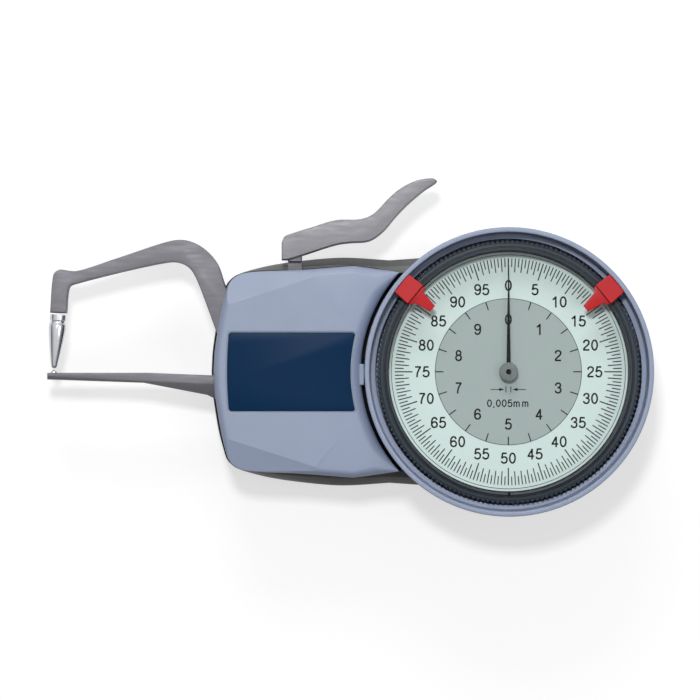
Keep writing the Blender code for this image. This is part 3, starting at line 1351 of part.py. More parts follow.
def make_bezel(material, pivot):
    """A knurled ring with a flange for the dial and a seat for the crystal."""
    outer = BEZEL_R - BEZEL_BODY_INSET
    inner = DIAL_POCKET_R - BEZEL_FLANGE_WIDTH
    body = [
        (0.0, BEZEL_BOTTOM),
        (outer, BEZEL_BOTTOM),
        (outer, BEZEL_TOP - BEZEL_EDGE),
        (outer - BEZEL_EDGE, BEZEL_TOP),
        (0.0, BEZEL_TOP),
    ]
    bezel = finish_mesh("bezel", turned(body, ROUND_SIDES), material, pivot)
    teeth = []
    for i in range(KNURL_COUNT):
        teeth.append(polar(BEZEL_R, 2 * pi * i / KNURL_COUNT))
        teeth.append(polar(BEZEL_R - KNURL_CUT, 2 * pi * (i + 1 / 2) / KNURL_COUNT))
    knurl_top = BEZEL_TOP - KNURL_DROP
    join_on(bezel, prism(teeth, knurl_top - KNURL_DEPTH, knurl_top), "knurl")
    flange_top = BEZEL_BOTTOM + BEZEL_FLANGE_DEPTH
    edge = BEZEL_EDGE + CUT_OVERRUN
    bore = [
        (0.0, BEZEL_BOTTOM - CUT_OVERRUN),
        (inner, BEZEL_BOTTOM - CUT_OVERRUN),
        (inner, flange_top),
        (DIAL_POCKET_R, flange_top),
        (DIAL_POCKET_R, CRYSTAL_SEAT),
        (CRYSTAL_POCKET_R, CRYSTAL_SEAT),
        (CRYSTAL_POCKET_R, BEZEL_TOP - BEZEL_EDGE),
        (CRYSTAL_POCKET_R + edge, BEZEL_TOP + CUT_OVERRUN),
        (0.0, BEZEL_TOP + CUT_OVERRUN),
    ]
    cut_away(bezel, turned(bore, ROUND_SIDES), "bore")
    return bezel


def make_crystal_seal(material, pivot):
    profile = [
        (CRYSTAL_R, SEAL_BOTTOM),
        (CRYSTAL_R, SEAL_BOTTOM + CRYSTAL_SEAL_DEPTH),
        (DIAL_POCKET_R, SEAL_BOTTOM + CRYSTAL_SEAL_DEPTH),
        (DIAL_POCKET_R, SEAL_BOTTOM),
    ]
    return finish_mesh("crystal_seal", turned(profile, ROUND_SIDES), material, pivot)


def make_crystal(material, pivot):
    profile = [
        (0.0, CRYSTAL_BOTTOM),
        (CRYSTAL_R, CRYSTAL_BOTTOM),
        (CRYSTAL_R, CRYSTAL_TOP - BEZEL_EDGE),
        (CRYSTAL_R - BEZEL_EDGE, CRYSTAL_TOP),
        (0.0, CRYSTAL_TOP),
    ]
    return finish_mesh("crystal", turned(profile, ROUND_SIDES), material, pivot)


def make_dial_plate(material, pivot):
    hole_r = TUBE_OUTER_R + GAP
    profile = [(DIAL_R, DIAL_BOTTOM), (DIAL_R, DIAL_TOP), (hole_r, DIAL_TOP), (hole_r, DIAL_BOTTOM)]
    return finish_mesh("dial_plate", turned(profile, ROUND_SIDES), material, pivot)


def make_marker(name, side, material, pivot):
    """A tolerance marker: a grip over the bezel and a tongue over the crystal."""
    middle = pi / 2 + side * MARKER_ANGLE
    outer_r = CASE_R - RIM_WALL - GAP
    inner_r = outer_r - MARKER_BLOCK_LENGTH
    block_bottom = BEZEL_TOP + GAP
    tongue_bottom = CRYSTAL_TOP + GAP
    reach = CRYSTAL_POCKET_R - GAP
    shoulder_r = inner_r - MARKER_SHOULDER
    half = MARKER_WIDTH / 2
    narrow = MARKER_TONGUE_WIDTH / 2
    root = MARKER_ROOT_WIDTH / 2
    block = prism(
        [(inner_r, -half), (outer_r, -half), (outer_r, half), (inner_r, half)],
        block_bottom,
        block_bottom + MARKER_BLOCK_DEPTH,
    )
    tongue = prism(
        [
            (MARKER_TONGUE_R, -narrow),
            (shoulder_r, -root),
            (shoulder_r, -half + MARKER_GRIP_EDGE),
            (reach, -half + MARKER_GRIP_EDGE),
            (reach, half - MARKER_GRIP_EDGE),
            (shoulder_r, half - MARKER_GRIP_EDGE),
            (shoulder_r, root),
            (MARKER_TONGUE_R, narrow),
        ],
        tongue_bottom,
        tongue_bottom + MARKER_TONGUE_DEPTH,
    )
    turn = Matrix.Rotation(middle, 4, "Z")
    for bm in (block, tongue):
        bmesh.ops.transform(bm, matrix=turn, verts=bm.verts)
    marker = finish_mesh(name, block, material, pivot)
    join_on(marker, tongue, "tongue")
    return marker


PAINTS = {
    "blue_paint": ((0.305, 0.362, 0.491), 0.45, 0.0),
    "dark_paint": ((0.080, 0.082, 0.086), 0.55, 0.0),
    "grey_steel": ((0.300, 0.305, 0.320), 0.35, 0.9),
    "steel": ((0.560, 0.570, 0.580), 0.30, 1.0),
    "hard_chrome": ((0.750, 0.760, 0.770), 0.12, 1.0),
    "brass": ((0.620, 0.430, 0.160), 0.35, 1.0),
    "plate_blue": ((0.005, 0.025, 0.070), 0.35, 0.0),
    "black_plastic": ((0.020, 0.022, 0.025), 0.40, 0.0),
    "dial_grey": ((0.590, 0.690, 0.680), 0.50, 0.0),
    "clear": ((0.900, 0.930, 0.920), 0.05, 0.0),
    "red_plastic": ((0.560, 0.022, 0.028), 0.40, 0.0),
    "black_metal": ((0.015, 0.015, 0.016), 0.40, 0.5),
}


def paint(piece, finish):
    """The piece's own material in one of the finishes."""
    return make_material(f"{piece}_{finish}", *PAINTS[finish])


def make_case():
    make_rear_shell(paint("rear_shell", "dark_paint"))
    make_front_shell(paint("front_shell", "blue_paint"))
    make_name_plate(paint("name_plate", "plate_blue"))
    make_dial_case(paint("dial_case", "blue_paint"))
    for i, place in enumerate(HOUSING_SCREWS):
        name = f"housing_screw_{i + 1}"
        make_back_screw(name, place, paint(name, "steel"))
    for i, place in enumerate(CASE_SCREWS):
        name = f"case_screw_{i + 1}"
        make_back_screw(name, place, paint(name, "steel"))


def make_frame():
    """The base plate, what stands on it, and the fixed arm."""
    make_base_plate(paint("base_plate", "black_metal"))
    make_bridge(paint("movement_bridge", "brass"))
    for i, place in enumerate(PILLARS):
        name = f"bridge_pillar_{i + 1}"
        make_pillar(name, place, paint(name, "brass"))
        name = f"bridge_screw_{i + 1}"
        make_bridge_screw(name, place, paint(name, "steel"))
    for i, place in enumerate(BASE_SCREWS):
        name = f"base_screw_{i + 1}"
        make_support_screw(name, place, BASE_TOP + GAP, SCREW_HEAD_R, paint(name, "steel"))
    for i, place in enumerate(FIXED_SCREWS):
        name = f"fixed_arm_screw_{i + 1}"
        make_support_screw(name, place, ARM_TOP + GAP, FIXED_SCREW_HEAD_R, paint(name, "steel"))
    make_fixed_arm(paint("fixed_arm", "grey_steel"))
    make_fixed_anvil(paint("fixed_anvil", "hard_chrome"))
    bush_top = FRONT_CEILING - 2 * GAP
    make_bush("pivot_bush_lower", BASE_BOTTOM, BASE_TOP, paint("pivot_bush_lower", "brass"))
    make_bush("pivot_bush_upper", BUSH_BOSS_BOTTOM, bush_top, paint("pivot_bush_upper", "brass"))
    make_spring_pin("spring_post", SPRING_POST, BASE_BOTTOM + GAP, paint("spring_post", "steel"))
    make_hairspring_stud(paint("hairspring_stud", "steel"))


def make_moving_arm_group():
    pivot = make_pivot("arm_axis", *PIVOT)
    make_moving_arm(paint("moving_arm", "grey_steel"), pivot)
    make_contact_tip(paint("contact_tip", "hard_chrome"), pivot)
    make_pivot_shaft(paint("pivot_shaft", "steel"), pivot)
    make_sector_gear(paint("sector_gear", "brass"), pivot)
    make_sector_screws(paint("sector_screws", "steel"), pivot)
    make_lift_lever(paint("lift_lever", "grey_steel"), pivot)
    make_lever_screw(paint("lever_screw", "steel"), pivot)
    make_spring_pin("spring_pin", SPRING_PIN, ARM_MIDDLE, paint("spring_pin", "steel"), pivot)
    make_return_spring(paint("return_spring", "steel"), pivot)


def make_gear_train():
    """The wheels from the sector to the hands. Each tooth stands opposite a gap of its mate."""
    transfer = make_pivot("transfer_axis", *TRANSFER)
    neck = [(ARBOR_R, ARBOR_NECK), (ARBOR_PIVOT_R, ARBOR_NECK), (ARBOR_PIVOT_R, ARBOR_HEAD)]
    low, high = SECTOR_BOTTOM - PINION_SPILL, SECTOR_TOP + PINION_SPILL
    to_pivot = SECTOR_MESH_ANGLE + pi
    to_centre = CENTRE_MESH_ANGLE + pi
    pinion = paint("transfer_pinion", "steel")
    make_arbor("transfer_pinion", TRANSFER, low, high, to_pivot, neck, pinion, transfer)
    make_wheel("transfer_wheel", TRANSFER_TEETH, TRANSFER, to_centre, WHEEL_BOTTOM, transfer)
    make_wheel("counter_drive_wheel", COUNTER_TEETH, TRANSFER, to_centre, COUNTER_BOTTOM, transfer)
    centre = make_pivot("centre_axis", *CENTRE)
    low, high = WHEEL_BOTTOM - PINION_SPILL, WHEEL_TOP + PINION_SPILL
    head = [(ARBOR_R, HAND_HUB_TOP)]
    pinion = paint("centre_pinion", "steel")
    make_arbor("centre_pinion", CENTRE, low, high, CENTRE_MESH_ANGLE, head, pinion, centre)
    pointer = hand_outline(MAIN_HAND_BOSS_R, MAIN_HAND_WIDTH, MAIN_HAND_TIP_WIDTH, MAIN_HAND_LENGTH)
    black = paint("main_hand", "black_metal")
    bore_r = ARBOR_R + RUNNING_GAP
    make_hand("main_hand", pointer, MAIN_HAND_BOTTOM, MAIN_HAND_DEPTH, bore_r, black, centre)
    make_hand_hub(paint("hand_hub", "black_metal"), centre)
    counter = make_pivot("counter_axis", *CENTRE)
    make_counter_wheel(paint("counter_wheel", "brass"), counter)
    pointer = hand_outline(COUNTER_HUB_R, COUNTER_HAND_WIDTH, COUNTER_HAND_TIP_WIDTH, COUNTER_HAND_LENGTH)
    black = paint("counter_hand", "black_metal")
    bore_r = TUBE_OUTER_R + RUNNING_GAP
    make_hand("counter_hand", pointer, COUNTER_HAND_BOTTOM, COUNTER_HAND_DEPTH, bore_r, black, counter)
    take_up = make_pivot("take_up_axis", *TAKE_UP)
    make_wheel("take_up_wheel", TAKE_UP_TEETH, TAKE_UP, TAKE_UP_ANGLE + pi, WHEEL_BOTTOM, take_up)
    make_plain_arbor("take_up_arbor", TAKE_UP, paint("take_up_arbor", "steel"), take_up)
    make_hairspring(paint("hairspring", "steel"), take_up)


def make_dial_group():
    turning = make_pivot("bezel_axis", *CENTRE)
    make_bezel(paint("bezel", "black_plastic"), turning)
    make_dial_plate(paint("dial_plate", "dial_grey"), turning)
    make_crystal_seal(paint("crystal_seal", "black_plastic"), turning)
    make_crystal(paint("crystal", "clear"), turning)
    left, right = make_pivot("marker_left_axis", *CENTRE), make_pivot("marker_right_axis", *CENTRE)
    make_marker("tolerance_marker_left", 1, paint("tolerance_marker_left", "red_plastic"), left)
    make_marker("tolerance_marker_right", -1, paint("tolerance_marker_right", "red_plastic"), right)


clear_scene()
make_case()
make_frame()
make_moving_arm_group()
make_gear_train()
make_dial_group()
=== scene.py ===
"""Dial caliper gauge: the dressed model, its materials, floor, light and camera.

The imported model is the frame. Lengths in the tables and calls are in millimetres, and MM turns them
into metres when a mesh is made.
"""

import json
from math import atan2, cos, degrees, hypot, pi, radians, sin, sqrt

import bmesh
import bpy
from mathutils import Matrix, Vector


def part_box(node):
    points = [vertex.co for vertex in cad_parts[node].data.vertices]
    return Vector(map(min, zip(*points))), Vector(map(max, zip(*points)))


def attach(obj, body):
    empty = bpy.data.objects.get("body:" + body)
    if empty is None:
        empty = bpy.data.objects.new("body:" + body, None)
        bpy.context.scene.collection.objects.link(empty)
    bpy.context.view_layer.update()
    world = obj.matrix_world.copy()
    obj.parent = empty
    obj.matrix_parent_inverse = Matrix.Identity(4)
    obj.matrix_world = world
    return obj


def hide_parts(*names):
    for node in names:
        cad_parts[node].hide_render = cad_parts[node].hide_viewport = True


MM = 0.001
WELD = 0.00001
QUARTER = pi / 2

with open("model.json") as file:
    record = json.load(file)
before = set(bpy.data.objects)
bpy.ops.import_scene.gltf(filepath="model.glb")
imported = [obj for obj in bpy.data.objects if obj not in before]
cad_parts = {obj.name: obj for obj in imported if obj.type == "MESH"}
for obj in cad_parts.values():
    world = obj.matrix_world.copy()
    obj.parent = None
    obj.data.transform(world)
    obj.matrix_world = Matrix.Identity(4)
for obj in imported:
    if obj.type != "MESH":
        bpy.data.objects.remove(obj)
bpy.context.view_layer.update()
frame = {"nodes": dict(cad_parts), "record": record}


# ---------------------------------------------------------------- outlines


def flow(points, steps=6):
    """Points along a smooth curve through the given ones."""
    given = [Vector(point) for point in points]
    ends = [2 * given[0] - given[1]] + given + [2 * given[-1] - given[-2]]
    curve = []
    for a, b, c, d in zip(ends, ends[1:], ends[2:], ends[3:]):
        first, middle, last = sqrt((b - a).length), sqrt((c - b).length), sqrt((d - c).length)
        leave = (b - a) / first - (c - a) / (first + middle) + (c - b) / middle
        arrive = (c - b) / middle - (d - b) / (middle + last) + (d - c) / last
        for i in range(steps):
            t = i / steps
            way = b * (2 * t**3 - 3 * t**2 + 1) + c * (3 * t**2 - 2 * t**3)
            way += middle * (leave * (t**3 - 2 * t**2 + t) + arrive * (t**3 - t**2))
            curve.append((way.x, way.y))
    return curve + [(given[-1].x, given[-1].y)]


def arc(radius, start, end, steps, x=0.0, y=0.0):
    """Points on an arc, with its angles in degrees."""
    angles = [radians(start + (end - start) * i / steps) for i in range(steps + 1)]
    return [(x + radius * cos(a), y + radius * sin(a)) for a in angles]


def circle(radius, sides, x=0.0, y=0.0):
    return arc(radius, 0, 360, sides, x, y)[:-1]


def inset(loop, distance):
    """An anticlockwise loop moved inward by a distance."""
    moved = []
    for i, here in enumerate(loop):
        before, after = Vector(loop[i - 1]), Vector(loop[(i + 1) % len(loop)])
        here = Vector(here)
        a = (here - before).normalized()
        b = (after - here).normalized()
        normal = Vector((-(a.y + b.y), a.x + b.x)).normalized()
        stretch = max(normal.dot(Vector((-a.y, a.x))), 0.4)
        moved.append(tuple(here + normal * (distance / stretch)))
    return moved


def round_corner(before, corner, after, radius, steps):
    """The arc that rounds one corner of an outline."""
    a = (Vector(before) - Vector(corner)).normalized()
    b = (Vector(after) - Vector(corner)).normalized()
    half = a.angle(b) / 2
    reach = radius / max(0.05, abs(sin(half)) / cos(half))
    start, end = Vector(corner) + a * reach, Vector(corner) + b * reach
    points = []
    for i in range(steps + 1):
        t = i / steps
        points.append(tuple(start * (1 - t) ** 2 + Vector(corner) * 2 * t * (1 - t) + end * t**2))
    return points


def rounded(loop, radius, steps):
    """A closed outline with each corner rounded."""
    points = []
    for i, corner in enumerate(loop):
        points += round_corner(loop[i - 1], corner, loop[(i + 1) % len(loop)], radius, steps)
    return points


# ---------------------------------------------------------------- meshes


def skin(rings):
    """A closed form through rings of places with equal counts."""
    bm = bmesh.new()
    rings = [[bm.verts.new(place) for place in ring] for ring in rings]
    for low, high in zip(rings, rings[1:]):
        for i in range(len(low)):
            j = (i + 1) % len(low)
            bm.faces.new((low[i], low[j], high[j], high[i]))
    bm.faces.new(list(reversed(rings[0])))
    bm.faces.new(rings[-1])
    bm.normal_update()
    return bm


def stack(levels):
    """A closed form through level loops with equal counts, each one (loop, height)."""
    return skin([[(x, y, z) for x, y in loop] for loop, z in levels])


def prism(loop, bottom, top):
    return stack([(loop, bottom), (loop, top)])


def soft_prism(loop, bottom, top, low_edge, high_edge, steps=5, draft=0.0):
    """A prism with a rounded rim at its bottom and top. A draft draws it in above its middle."""
    turns = [QUARTER * i / steps for i in range(steps + 1)]
    low = [(inset(loop, low_edge * (1 - sin(a))), bottom + low_edge * (1 - cos(a))) for a in turns]
    high = [(inset(loop, draft + high_edge * (1 - cos(a))), top - high_edge * (1 - sin(a))) for a in turns]
    middle = [(loop, (bottom + top) / 2)] if draft else []
    return stack((low if low_edge else [(loop, bottom)]) + middle + (high if high_edge else [(loop, top)]))


def lathe(profile, sides, x=0.0, y=0.0, shape=None, closed=True):
    """A profile of (radius, height) turned about an upright axis. shape changes a point by its angle."""
    bm = bmesh.new()
    rings = []
    for i in range(sides):
        a = 2 * pi * i / sides
        ring = []
        for k, (r, z) in enumerate(profile):
            if shape:
                r, z = shape(k, r, z, a)
            ring.append(bm.verts.new((x + r * cos(a), y + r * sin(a), z)))
        rings.append(ring)
    count = len(profile) if closed else len(profile) - 1
    for i in range(sides):
        here, there = rings[i], rings[(i + 1) % sides]
        for k in range(count):
            m = (k + 1) % len(profile)
            bm.faces.new((here[k], there[k], there[m], here[m]))
    bmesh.ops.remove_doubles(bm, verts=bm.verts, dist=WELD)
    bmesh.ops.recalc_face_normals(bm, faces=bm.faces)
    return bm


def turned_along(profile, sides, start, direction):
    """A profile of (radius, distance) turned about any axis."""
    bm = lathe(profile, sides, closed=False)
    turn = Vector((0, 0, 1)).rotation_difference(Vector(direction).normalized()).to_matrix().to_4x4()
    bmesh.ops.transform(bm, matrix=Matrix.Translation(start) @ turn, verts=bm.verts)
    return bm


def block(low, high, edge=0.0):
    """A box between two corners, with its edges rounded where an edge is given."""
    loop = [(low[0], low[1]), (high[0], low[1]), (high[0], high[1]), (low[0], high[1])]
    if edge:
        return soft_prism(rounded(loop, edge, 4), low[2], high[2], edge, edge, 4)
    return prism(loop, low[2], high[2])


def join(target, other):
    """Puts a second form into the first one, and frees it."""
    mesh = bpy.data.meshes.new("part")
    other.to_mesh(mesh)
    other.free()
    target.from_mesh(mesh)
    bpy.data.meshes.remove(mesh)
    return target


def cut(bm, cutters):
    """The form with each cutter taken away in turn."""
    scene = bpy.context.scene.collection
    for cutter in cutters:
        bmesh.ops.recalc_face_normals(cutter, faces=cutter.faces)
        pair = []
        for form in (bm, cutter):
            mesh = bpy.data.meshes.new("form")
            form.to_mesh(mesh)
            form.free()
            pair.append(bpy.data.objects.new("form", mesh))
            scene.objects.link(pair[-1])
        step = pair[0].modifiers.new("cut", "BOOLEAN")
        step.operation = "DIFFERENCE"
        step.solver = "EXACT"
        step.object = pair[1]
        bpy.context.view_layer.update()
        bm = bmesh.new()
        bm.from_object(pair[0], bpy.context.evaluated_depsgraph_get())
        for item in pair:
            mesh = item.data
            bpy.data.objects.remove(item)
            bpy.data.meshes.remove(mesh)
    return bm


def add(name, bm, look, body, nodes=(), smooth=32):
    """Puts a form in the scene in metres, with its material, its body and the CAD nodes it stands for."""
    mesh = bpy.data.meshes.new(name)
    bmesh.ops.scale(bm, vec=(MM, MM, MM), verts=bm.verts)
    bmesh.ops.recalc_face_normals(bm, faces=bm.faces)
    bm.to_mesh(mesh)
    bm.free()
    mesh.shade_smooth()
    mesh.set_sharp_from_angle(angle=radians(smooth))
    mesh.materials.append(look)
    item = bpy.data.objects.new(name, mesh)
    bpy.context.scene.collection.objects.link(item)
    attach(item, body)
    if nodes:
        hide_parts(*nodes)


# ---------------------------------------------------------------- materials


def srgb(red, green, blue):
    """A colour as it shows, 0 to 255, made linear for a shader."""
    linear = []
    for value in (red, green, blue):
        c = value / 255
        linear.append(c / 12.92 if c <= 0.04045 else ((c + 0.055) / 1.055) ** 2.4)
    return (*linear, 1.0)


class Look:
    """Builds one procedural material."""

    def __init__(self, name, slot, roughness=0.5, metallic=0.0, shine=0.5):
        self.material = bpy.data.materials.new(name)
        self.material.use_nodes = True
        self.material["slot"] = slot
        self.tree = self.material.node_tree
        self.shader = self.tree.nodes["Principled BSDF"]
        self.shader.inputs["Roughness"].default_value = roughness
        self.shader.inputs["Metallic"].default_value = metallic
        self.shader.inputs["Specular IOR Level"].default_value = shine
        self.place = self.node("ShaderNodeTexCoord").outputs["Object"]
        self.normal = None

    def node(self, kind, **settings):
        made = self.tree.nodes.new(kind)
        for key, value in settings.items():
            setattr(made, key, value)
        return made

    def link(self, source, target):
        self.tree.links.new(source, target)

    def stretched(self, scale, turn=0.0):
        mapping = self.node("ShaderNodeMapping")
        mapping.inputs["Scale"].default_value = scale
        mapping.inputs["Rotation"].default_value = (0, 0, turn)
        self.link(self.place, mapping.inputs["Vector"])
        return mapping.outputs["Vector"]

    def noise(self, size, detail=3.0, rough=0.5, vector=None):
        """Noise whose grains are about size millimetres across."""
        made = self.node("ShaderNodeTexNoise")
        made.inputs["Scale"].default_value = 1 / (size * MM)
        made.inputs["Detail"].default_value = detail
        made.inputs["Roughness"].default_value = rough
        self.link(vector or self.place, made.inputs["Vector"])
        return made.outputs["Fac"]

    def ramp(self, source, stops):
        made = self.node("ShaderNodeValToRGB")
        band = made.color_ramp
        while len(band.elements) < len(stops):
            band.elements.new(0.5)
        for element, (position, colour) in zip(band.elements, stops):
            element.position = position
            element.color = colour
        self.link(source, made.inputs["Fac"])
        return made.outputs["Color"]

    def span(self, source, low, high, start=0.3, end=0.7):
        """Noise mapped to a range of numbers."""
        made = self.node("ShaderNodeMapRange")
        made.inputs["From Min"].default_value = start
        made.inputs["From Max"].default_value = end
        made.inputs["To Min"].default_value = low
        made.inputs["To Max"].default_value = high
        self.link(source, made.inputs["Value"])
        return made.outputs["Result"]

    def mix(self, share, a, b, blend="MIX"):
        made = self.node("ShaderNodeMix", data_type="RGBA", blend_type=blend)
        for socket, value in ((made.inputs[0], share), (made.inputs[6], a), (made.inputs[7], b)):
            if isinstance(value, bpy.types.NodeSocket):
                self.link(value, socket)
            else:
                socket.default_value = value
        return made.outputs[2]

    def colour(self, source):
        self.link(source, self.shader.inputs["Base Color"])
        return self

    def roughness(self, source):
        self.link(source, self.shader.inputs["Roughness"])
        return self

    def soft_edges(self, radius):
        """Rounds the shading of sharp edges."""
        made = self.node("ShaderNodeBevel", samples=6)
        made.inputs["Radius"].default_value = radius * MM
        self.normal = made.outputs["Normal"]
        return self

    def bump(self, height, strength, distance):
        made = self.node("ShaderNodeBump")
        made.inputs["Strength"].default_value = strength
        made.inputs["Distance"].default_value = distance * MM
        self.link(height, made.inputs["Height"])
        if self.normal:
            self.link(self.normal, made.inputs["Normal"])
        self.normal = made.outputs["Normal"]
        return self

    def done(self):
        if self.normal:
            self.link(self.normal, self.shader.inputs["Normal"])
            self.link(self.normal, self.shader.inputs["Coat Normal"])
        return self.material


def shade(colour, factor):
    return (colour[0] * factor, colour[1] * factor, colour[2] * factor, 1.0)


def enamel(name, slot, colour, roughness, grain, depth, edge, worn, shine=0.4):
    """Stoved paint: orange peel, fine dust specks and slightly varied gloss."""
    look = Look(name, slot, roughness, shine=shine)
    peel = look.noise(grain, 2.0, 0.4)
    specks = look.noise(0.12, 2.0, 0.7)
    clouds = look.noise(14.0, 3.0, 0.55)
    base = look.ramp(clouds, [(0.3, shade(colour, 0.965)), (0.7, shade(colour, 1.035))])
    stops = [(0.34, shade(colour, worn)), (0.42, colour), (0.62, colour), (0.72, shade(colour, 1.08))]
    fine = look.ramp(specks, stops)
    look.colour(look.mix(0.5, base, fine))
    look.roughness(look.span(look.noise(2.6, 3.0), roughness - 0.05, roughness + 0.06))
    look.soft_edges(edge)
    look.bump(peel, 0.32, depth)
    look.bump(specks, 0.15, depth * 0.4)
    return look.done()


def brushed(name, slot, colour, roughness, stretch, edge, metallic=1.0, turn=0.0):
    """Ground metal: long fine scratches, dull patches and a few brighter lines."""
    look = Look(name, slot, roughness, metallic)
    along = look.stretched(stretch, turn)
    lines = look.noise(0.25, 4.0, 0.65, along)
    wide = look.noise(1.4, 2.0, 0.5, along)
    patches = look.noise(6.0, 3.0, 0.5)
    tone = look.ramp(lines, [(0.25, shade(colour, 0.84)), (0.5, colour), (0.78, shade(colour, 1.14))])
    cloudy = look.ramp(patches, [(0.3, shade(colour, 0.93)), (0.7, shade(colour, 1.06))])
    look.colour(look.mix(0.45, tone, cloudy))
    look.roughness(look.span(wide, roughness - 0.07, roughness + 0.09))
    look.soft_edges(edge)
    look.bump(lines, 0.18, 0.012)
    return look.done()


def turned_metal(name, slot, colour, roughness, edge):
    """Lathe-turned metal: fine rings round an upright axis."""
    look = Look(name, slot, roughness, 1.0)
    flat = look.node("ShaderNodeVectorMath", operation="MULTIPLY")
    flat.inputs[1].default_value = (1, 1, 0)
    look.link(look.place, flat.inputs[0])
    far = look.node("ShaderNodeVectorMath", operation="LENGTH")
    look.link(flat.outputs["Vector"], far.inputs[0])
    rings = look.node("ShaderNodeTexNoise", noise_dimensions="1D")
    rings.inputs["Scale"].default_value = 9000
    rings.inputs["Detail"].default_value = 3.0
    look.link(far.outputs["Value"], rings.inputs["W"])
    lines = rings.outputs["Fac"]
    dull = look.noise(2.5, 3.0)
    tone = look.ramp(lines, [(0.3, shade(colour, 0.86)), (0.55, colour), (0.75, shade(colour, 1.12))])
    cloudy = look.ramp(dull, [(0.3, shade(colour, 0.92)), (0.7, shade(colour, 1.05))])
    look.colour(look.mix(0.4, tone, cloudy))
    look.roughness(look.span(dull, roughness - 0.05, roughness + 0.08))
    look.soft_edges(edge)
    look.bump(lines, 0.12, 0.01)
    return look.done()


def moulded(name, slot, colour, roughness, grain, depth, edge, shine=0.3):
    """Moulded plastic: fine sparked grain and faint flow marks."""
    look = Look(name, slot, roughness, shine=shine)
    spark = look.noise(grain, 3.0, 0.6)
    marks = look.noise(5.0, 2.0, 0.5, look.stretched((1.0, 0.35, 1.0)))
    tone = look.ramp(marks, [(0.3, shade(colour, 0.93)), (0.7, shade(colour, 1.07))])
    fine = look.ramp(spark, [(0.3, shade(colour, 0.9)), (0.7, shade(colour, 1.08))])
    look.colour(look.mix(0.4, tone, fine))
    look.roughness(look.span(spark, roughness - 0.06, roughness + 0.08))
    look.soft_edges(edge)
    look.bump(spark, 0.25, depth)
    return look.done()


def printed(name, slot, colour, roughness, fibre, shine=0.12):
    """A printed or lacquered sheet: a very fine tooth under an even coat."""
    look = Look(name, slot, roughness, shine=shine)
    tooth = look.noise(fibre, 3.0, 0.6)
    clouds = look.noise(9.0, 2.0, 0.5)
    tone = look.ramp(clouds, [(0.3, shade(colour, 0.975)), (0.7, shade(colour, 1.02))])
    fine = look.ramp(tooth, [(0.25, shade(colour, 0.95)), (0.75, shade(colour, 1.04))])
    look.colour(look.mix(0.5, tone, fine))
    look.roughness(look.span(tooth, roughness - 0.05, roughness + 0.05))
    look.bump(tooth, 0.12, 0.006)
    return look.done()


def clear_glass():
    """A clear window: it lets light through straight, and mirrors a little at a slant."""
    look = Look("crystal_glass", "clear", 0.03)
    tree = look.tree
    see = look.node("ShaderNodeBsdfTransparent")
    see.inputs["Color"].default_value = (0.985, 0.992, 0.99, 1.0)
    gloss = look.node("ShaderNodeBsdfGlossy")
    gloss.inputs["Color"].default_value = (1, 1, 1, 1)
    smear = look.noise(7.0, 3.0, 0.6)
    look.link(look.span(smear, 0.02, 0.07), gloss.inputs["Roughness"])
    slant = look.node("ShaderNodeLayerWeight")
    steep = look.node("ShaderNodeMath", operation="POWER")
    steep.inputs[1].default_value = 4.0
    look.link(slant.outputs["Facing"], steep.inputs[0])
    both = look.node("ShaderNodeMixShader")
    look.link(look.span(steep.outputs[0], 0.012, 0.6, 0.0, 1.0), both.inputs["Fac"])
    look.link(see.outputs["BSDF"], both.inputs[1])
    look.link(gloss.outputs["BSDF"], both.inputs[2])
    tree.nodes.remove(look.shader)
    look.link(both.outputs["Shader"], tree.nodes["Material Output"].inputs["Surface"])
    return look.material


BLUE = srgb(150, 162, 187)
DARK = srgb(98, 98, 97)
ARM_GREY = srgb(122, 121, 127)
LEVER_GREY = srgb(138, 137, 142)
BEZEL_GREY = srgb(62, 70, 78)

blue_paint = enamel("blue_enamel", "blue_paint", BLUE, 0.42, 0.55, 0.02, 0.25, 0.9)
dark_paint = enamel("dark_enamel", "dark_paint", DARK, 0.45, 0.5, 0.02, 0.3, 0.85)
plate_paint = printed("plate_lacquer", "plate_blue", srgb(10, 46, 80), 0.34, 0.18, 0.05)
# Painted highlight: a light band for the name plate's bed edge catching light.
plate_bed_highlight = printed("plate_bed_painted_highlight", "plate_blue", srgb(150, 165, 182), 0.4, 0.15)
arm_steel = brushed("arm_steel", "grey_steel", ARM_GREY, 0.55, (0.25, 1.6, 1.0), 0.05, 0.2, radians(20))
lever_steel = brushed("lever_steel", "grey_steel", LEVER_GREY, 0.52, (0.3, 1.6, 1.0), 0.05, 0.2, radians(-35))
bright_steel = brushed("bright_steel", "steel", srgb(190, 192, 196), 0.3, (0.4, 1.5, 1.0), 0.08)
chrome = brushed("hard_chrome", "hard_chrome", srgb(205, 207, 212), 0.16, (2.0, 0.4, 1.0), 0.05)
gear_brass = turned_metal("gear_brass", "brass", srgb(196, 160, 92), 0.34, 0.05)
seal_rubber = moulded("black_moulding", "black_plastic", srgb(24, 26, 28), 0.5, 0.12, 0.01, 0.1, 0.1)
bezel_metal = moulded("bezel_metal", "black_metal", BEZEL_GREY, 0.36, 0.14, 0.01, 0.06, 0.2)
hand_black = printed("hand_lacquer", "black_metal", srgb(8, 9, 10), 0.6, 0.1, 0.02)
hub_metal = moulded("hub_metal", "black_metal", srgb(122, 128, 129), 0.5, 0.1, 0.006, 0.03, 0.2)
dial_white = printed("dial_white", "dial_grey", srgb(228, 245, 242), 0.55, 0.08)
dial_inner = printed("dial_inner", "dial_grey", srgb(176, 189, 188), 0.5, 0.08)
print_black = printed("print_black", "black_metal", srgb(12, 15, 17), 0.6, 0.08, 0.02)
# Black used for the painted shade in the seam gaps and in the gap beside the dial, and for the real mark on the bezel.
seam_shade_and_mark_black = moulded("seam_shade_and_mark_black", "black_plastic", srgb(16, 17, 19), 0.6, 0.15, 0.008, 0.1, 0.05)
red_plastic = moulded("red_moulding", "red_plastic", srgb(198, 34, 40), 0.34, 0.2, 0.01, 0.12, 0.2)
glass = clear_glass()

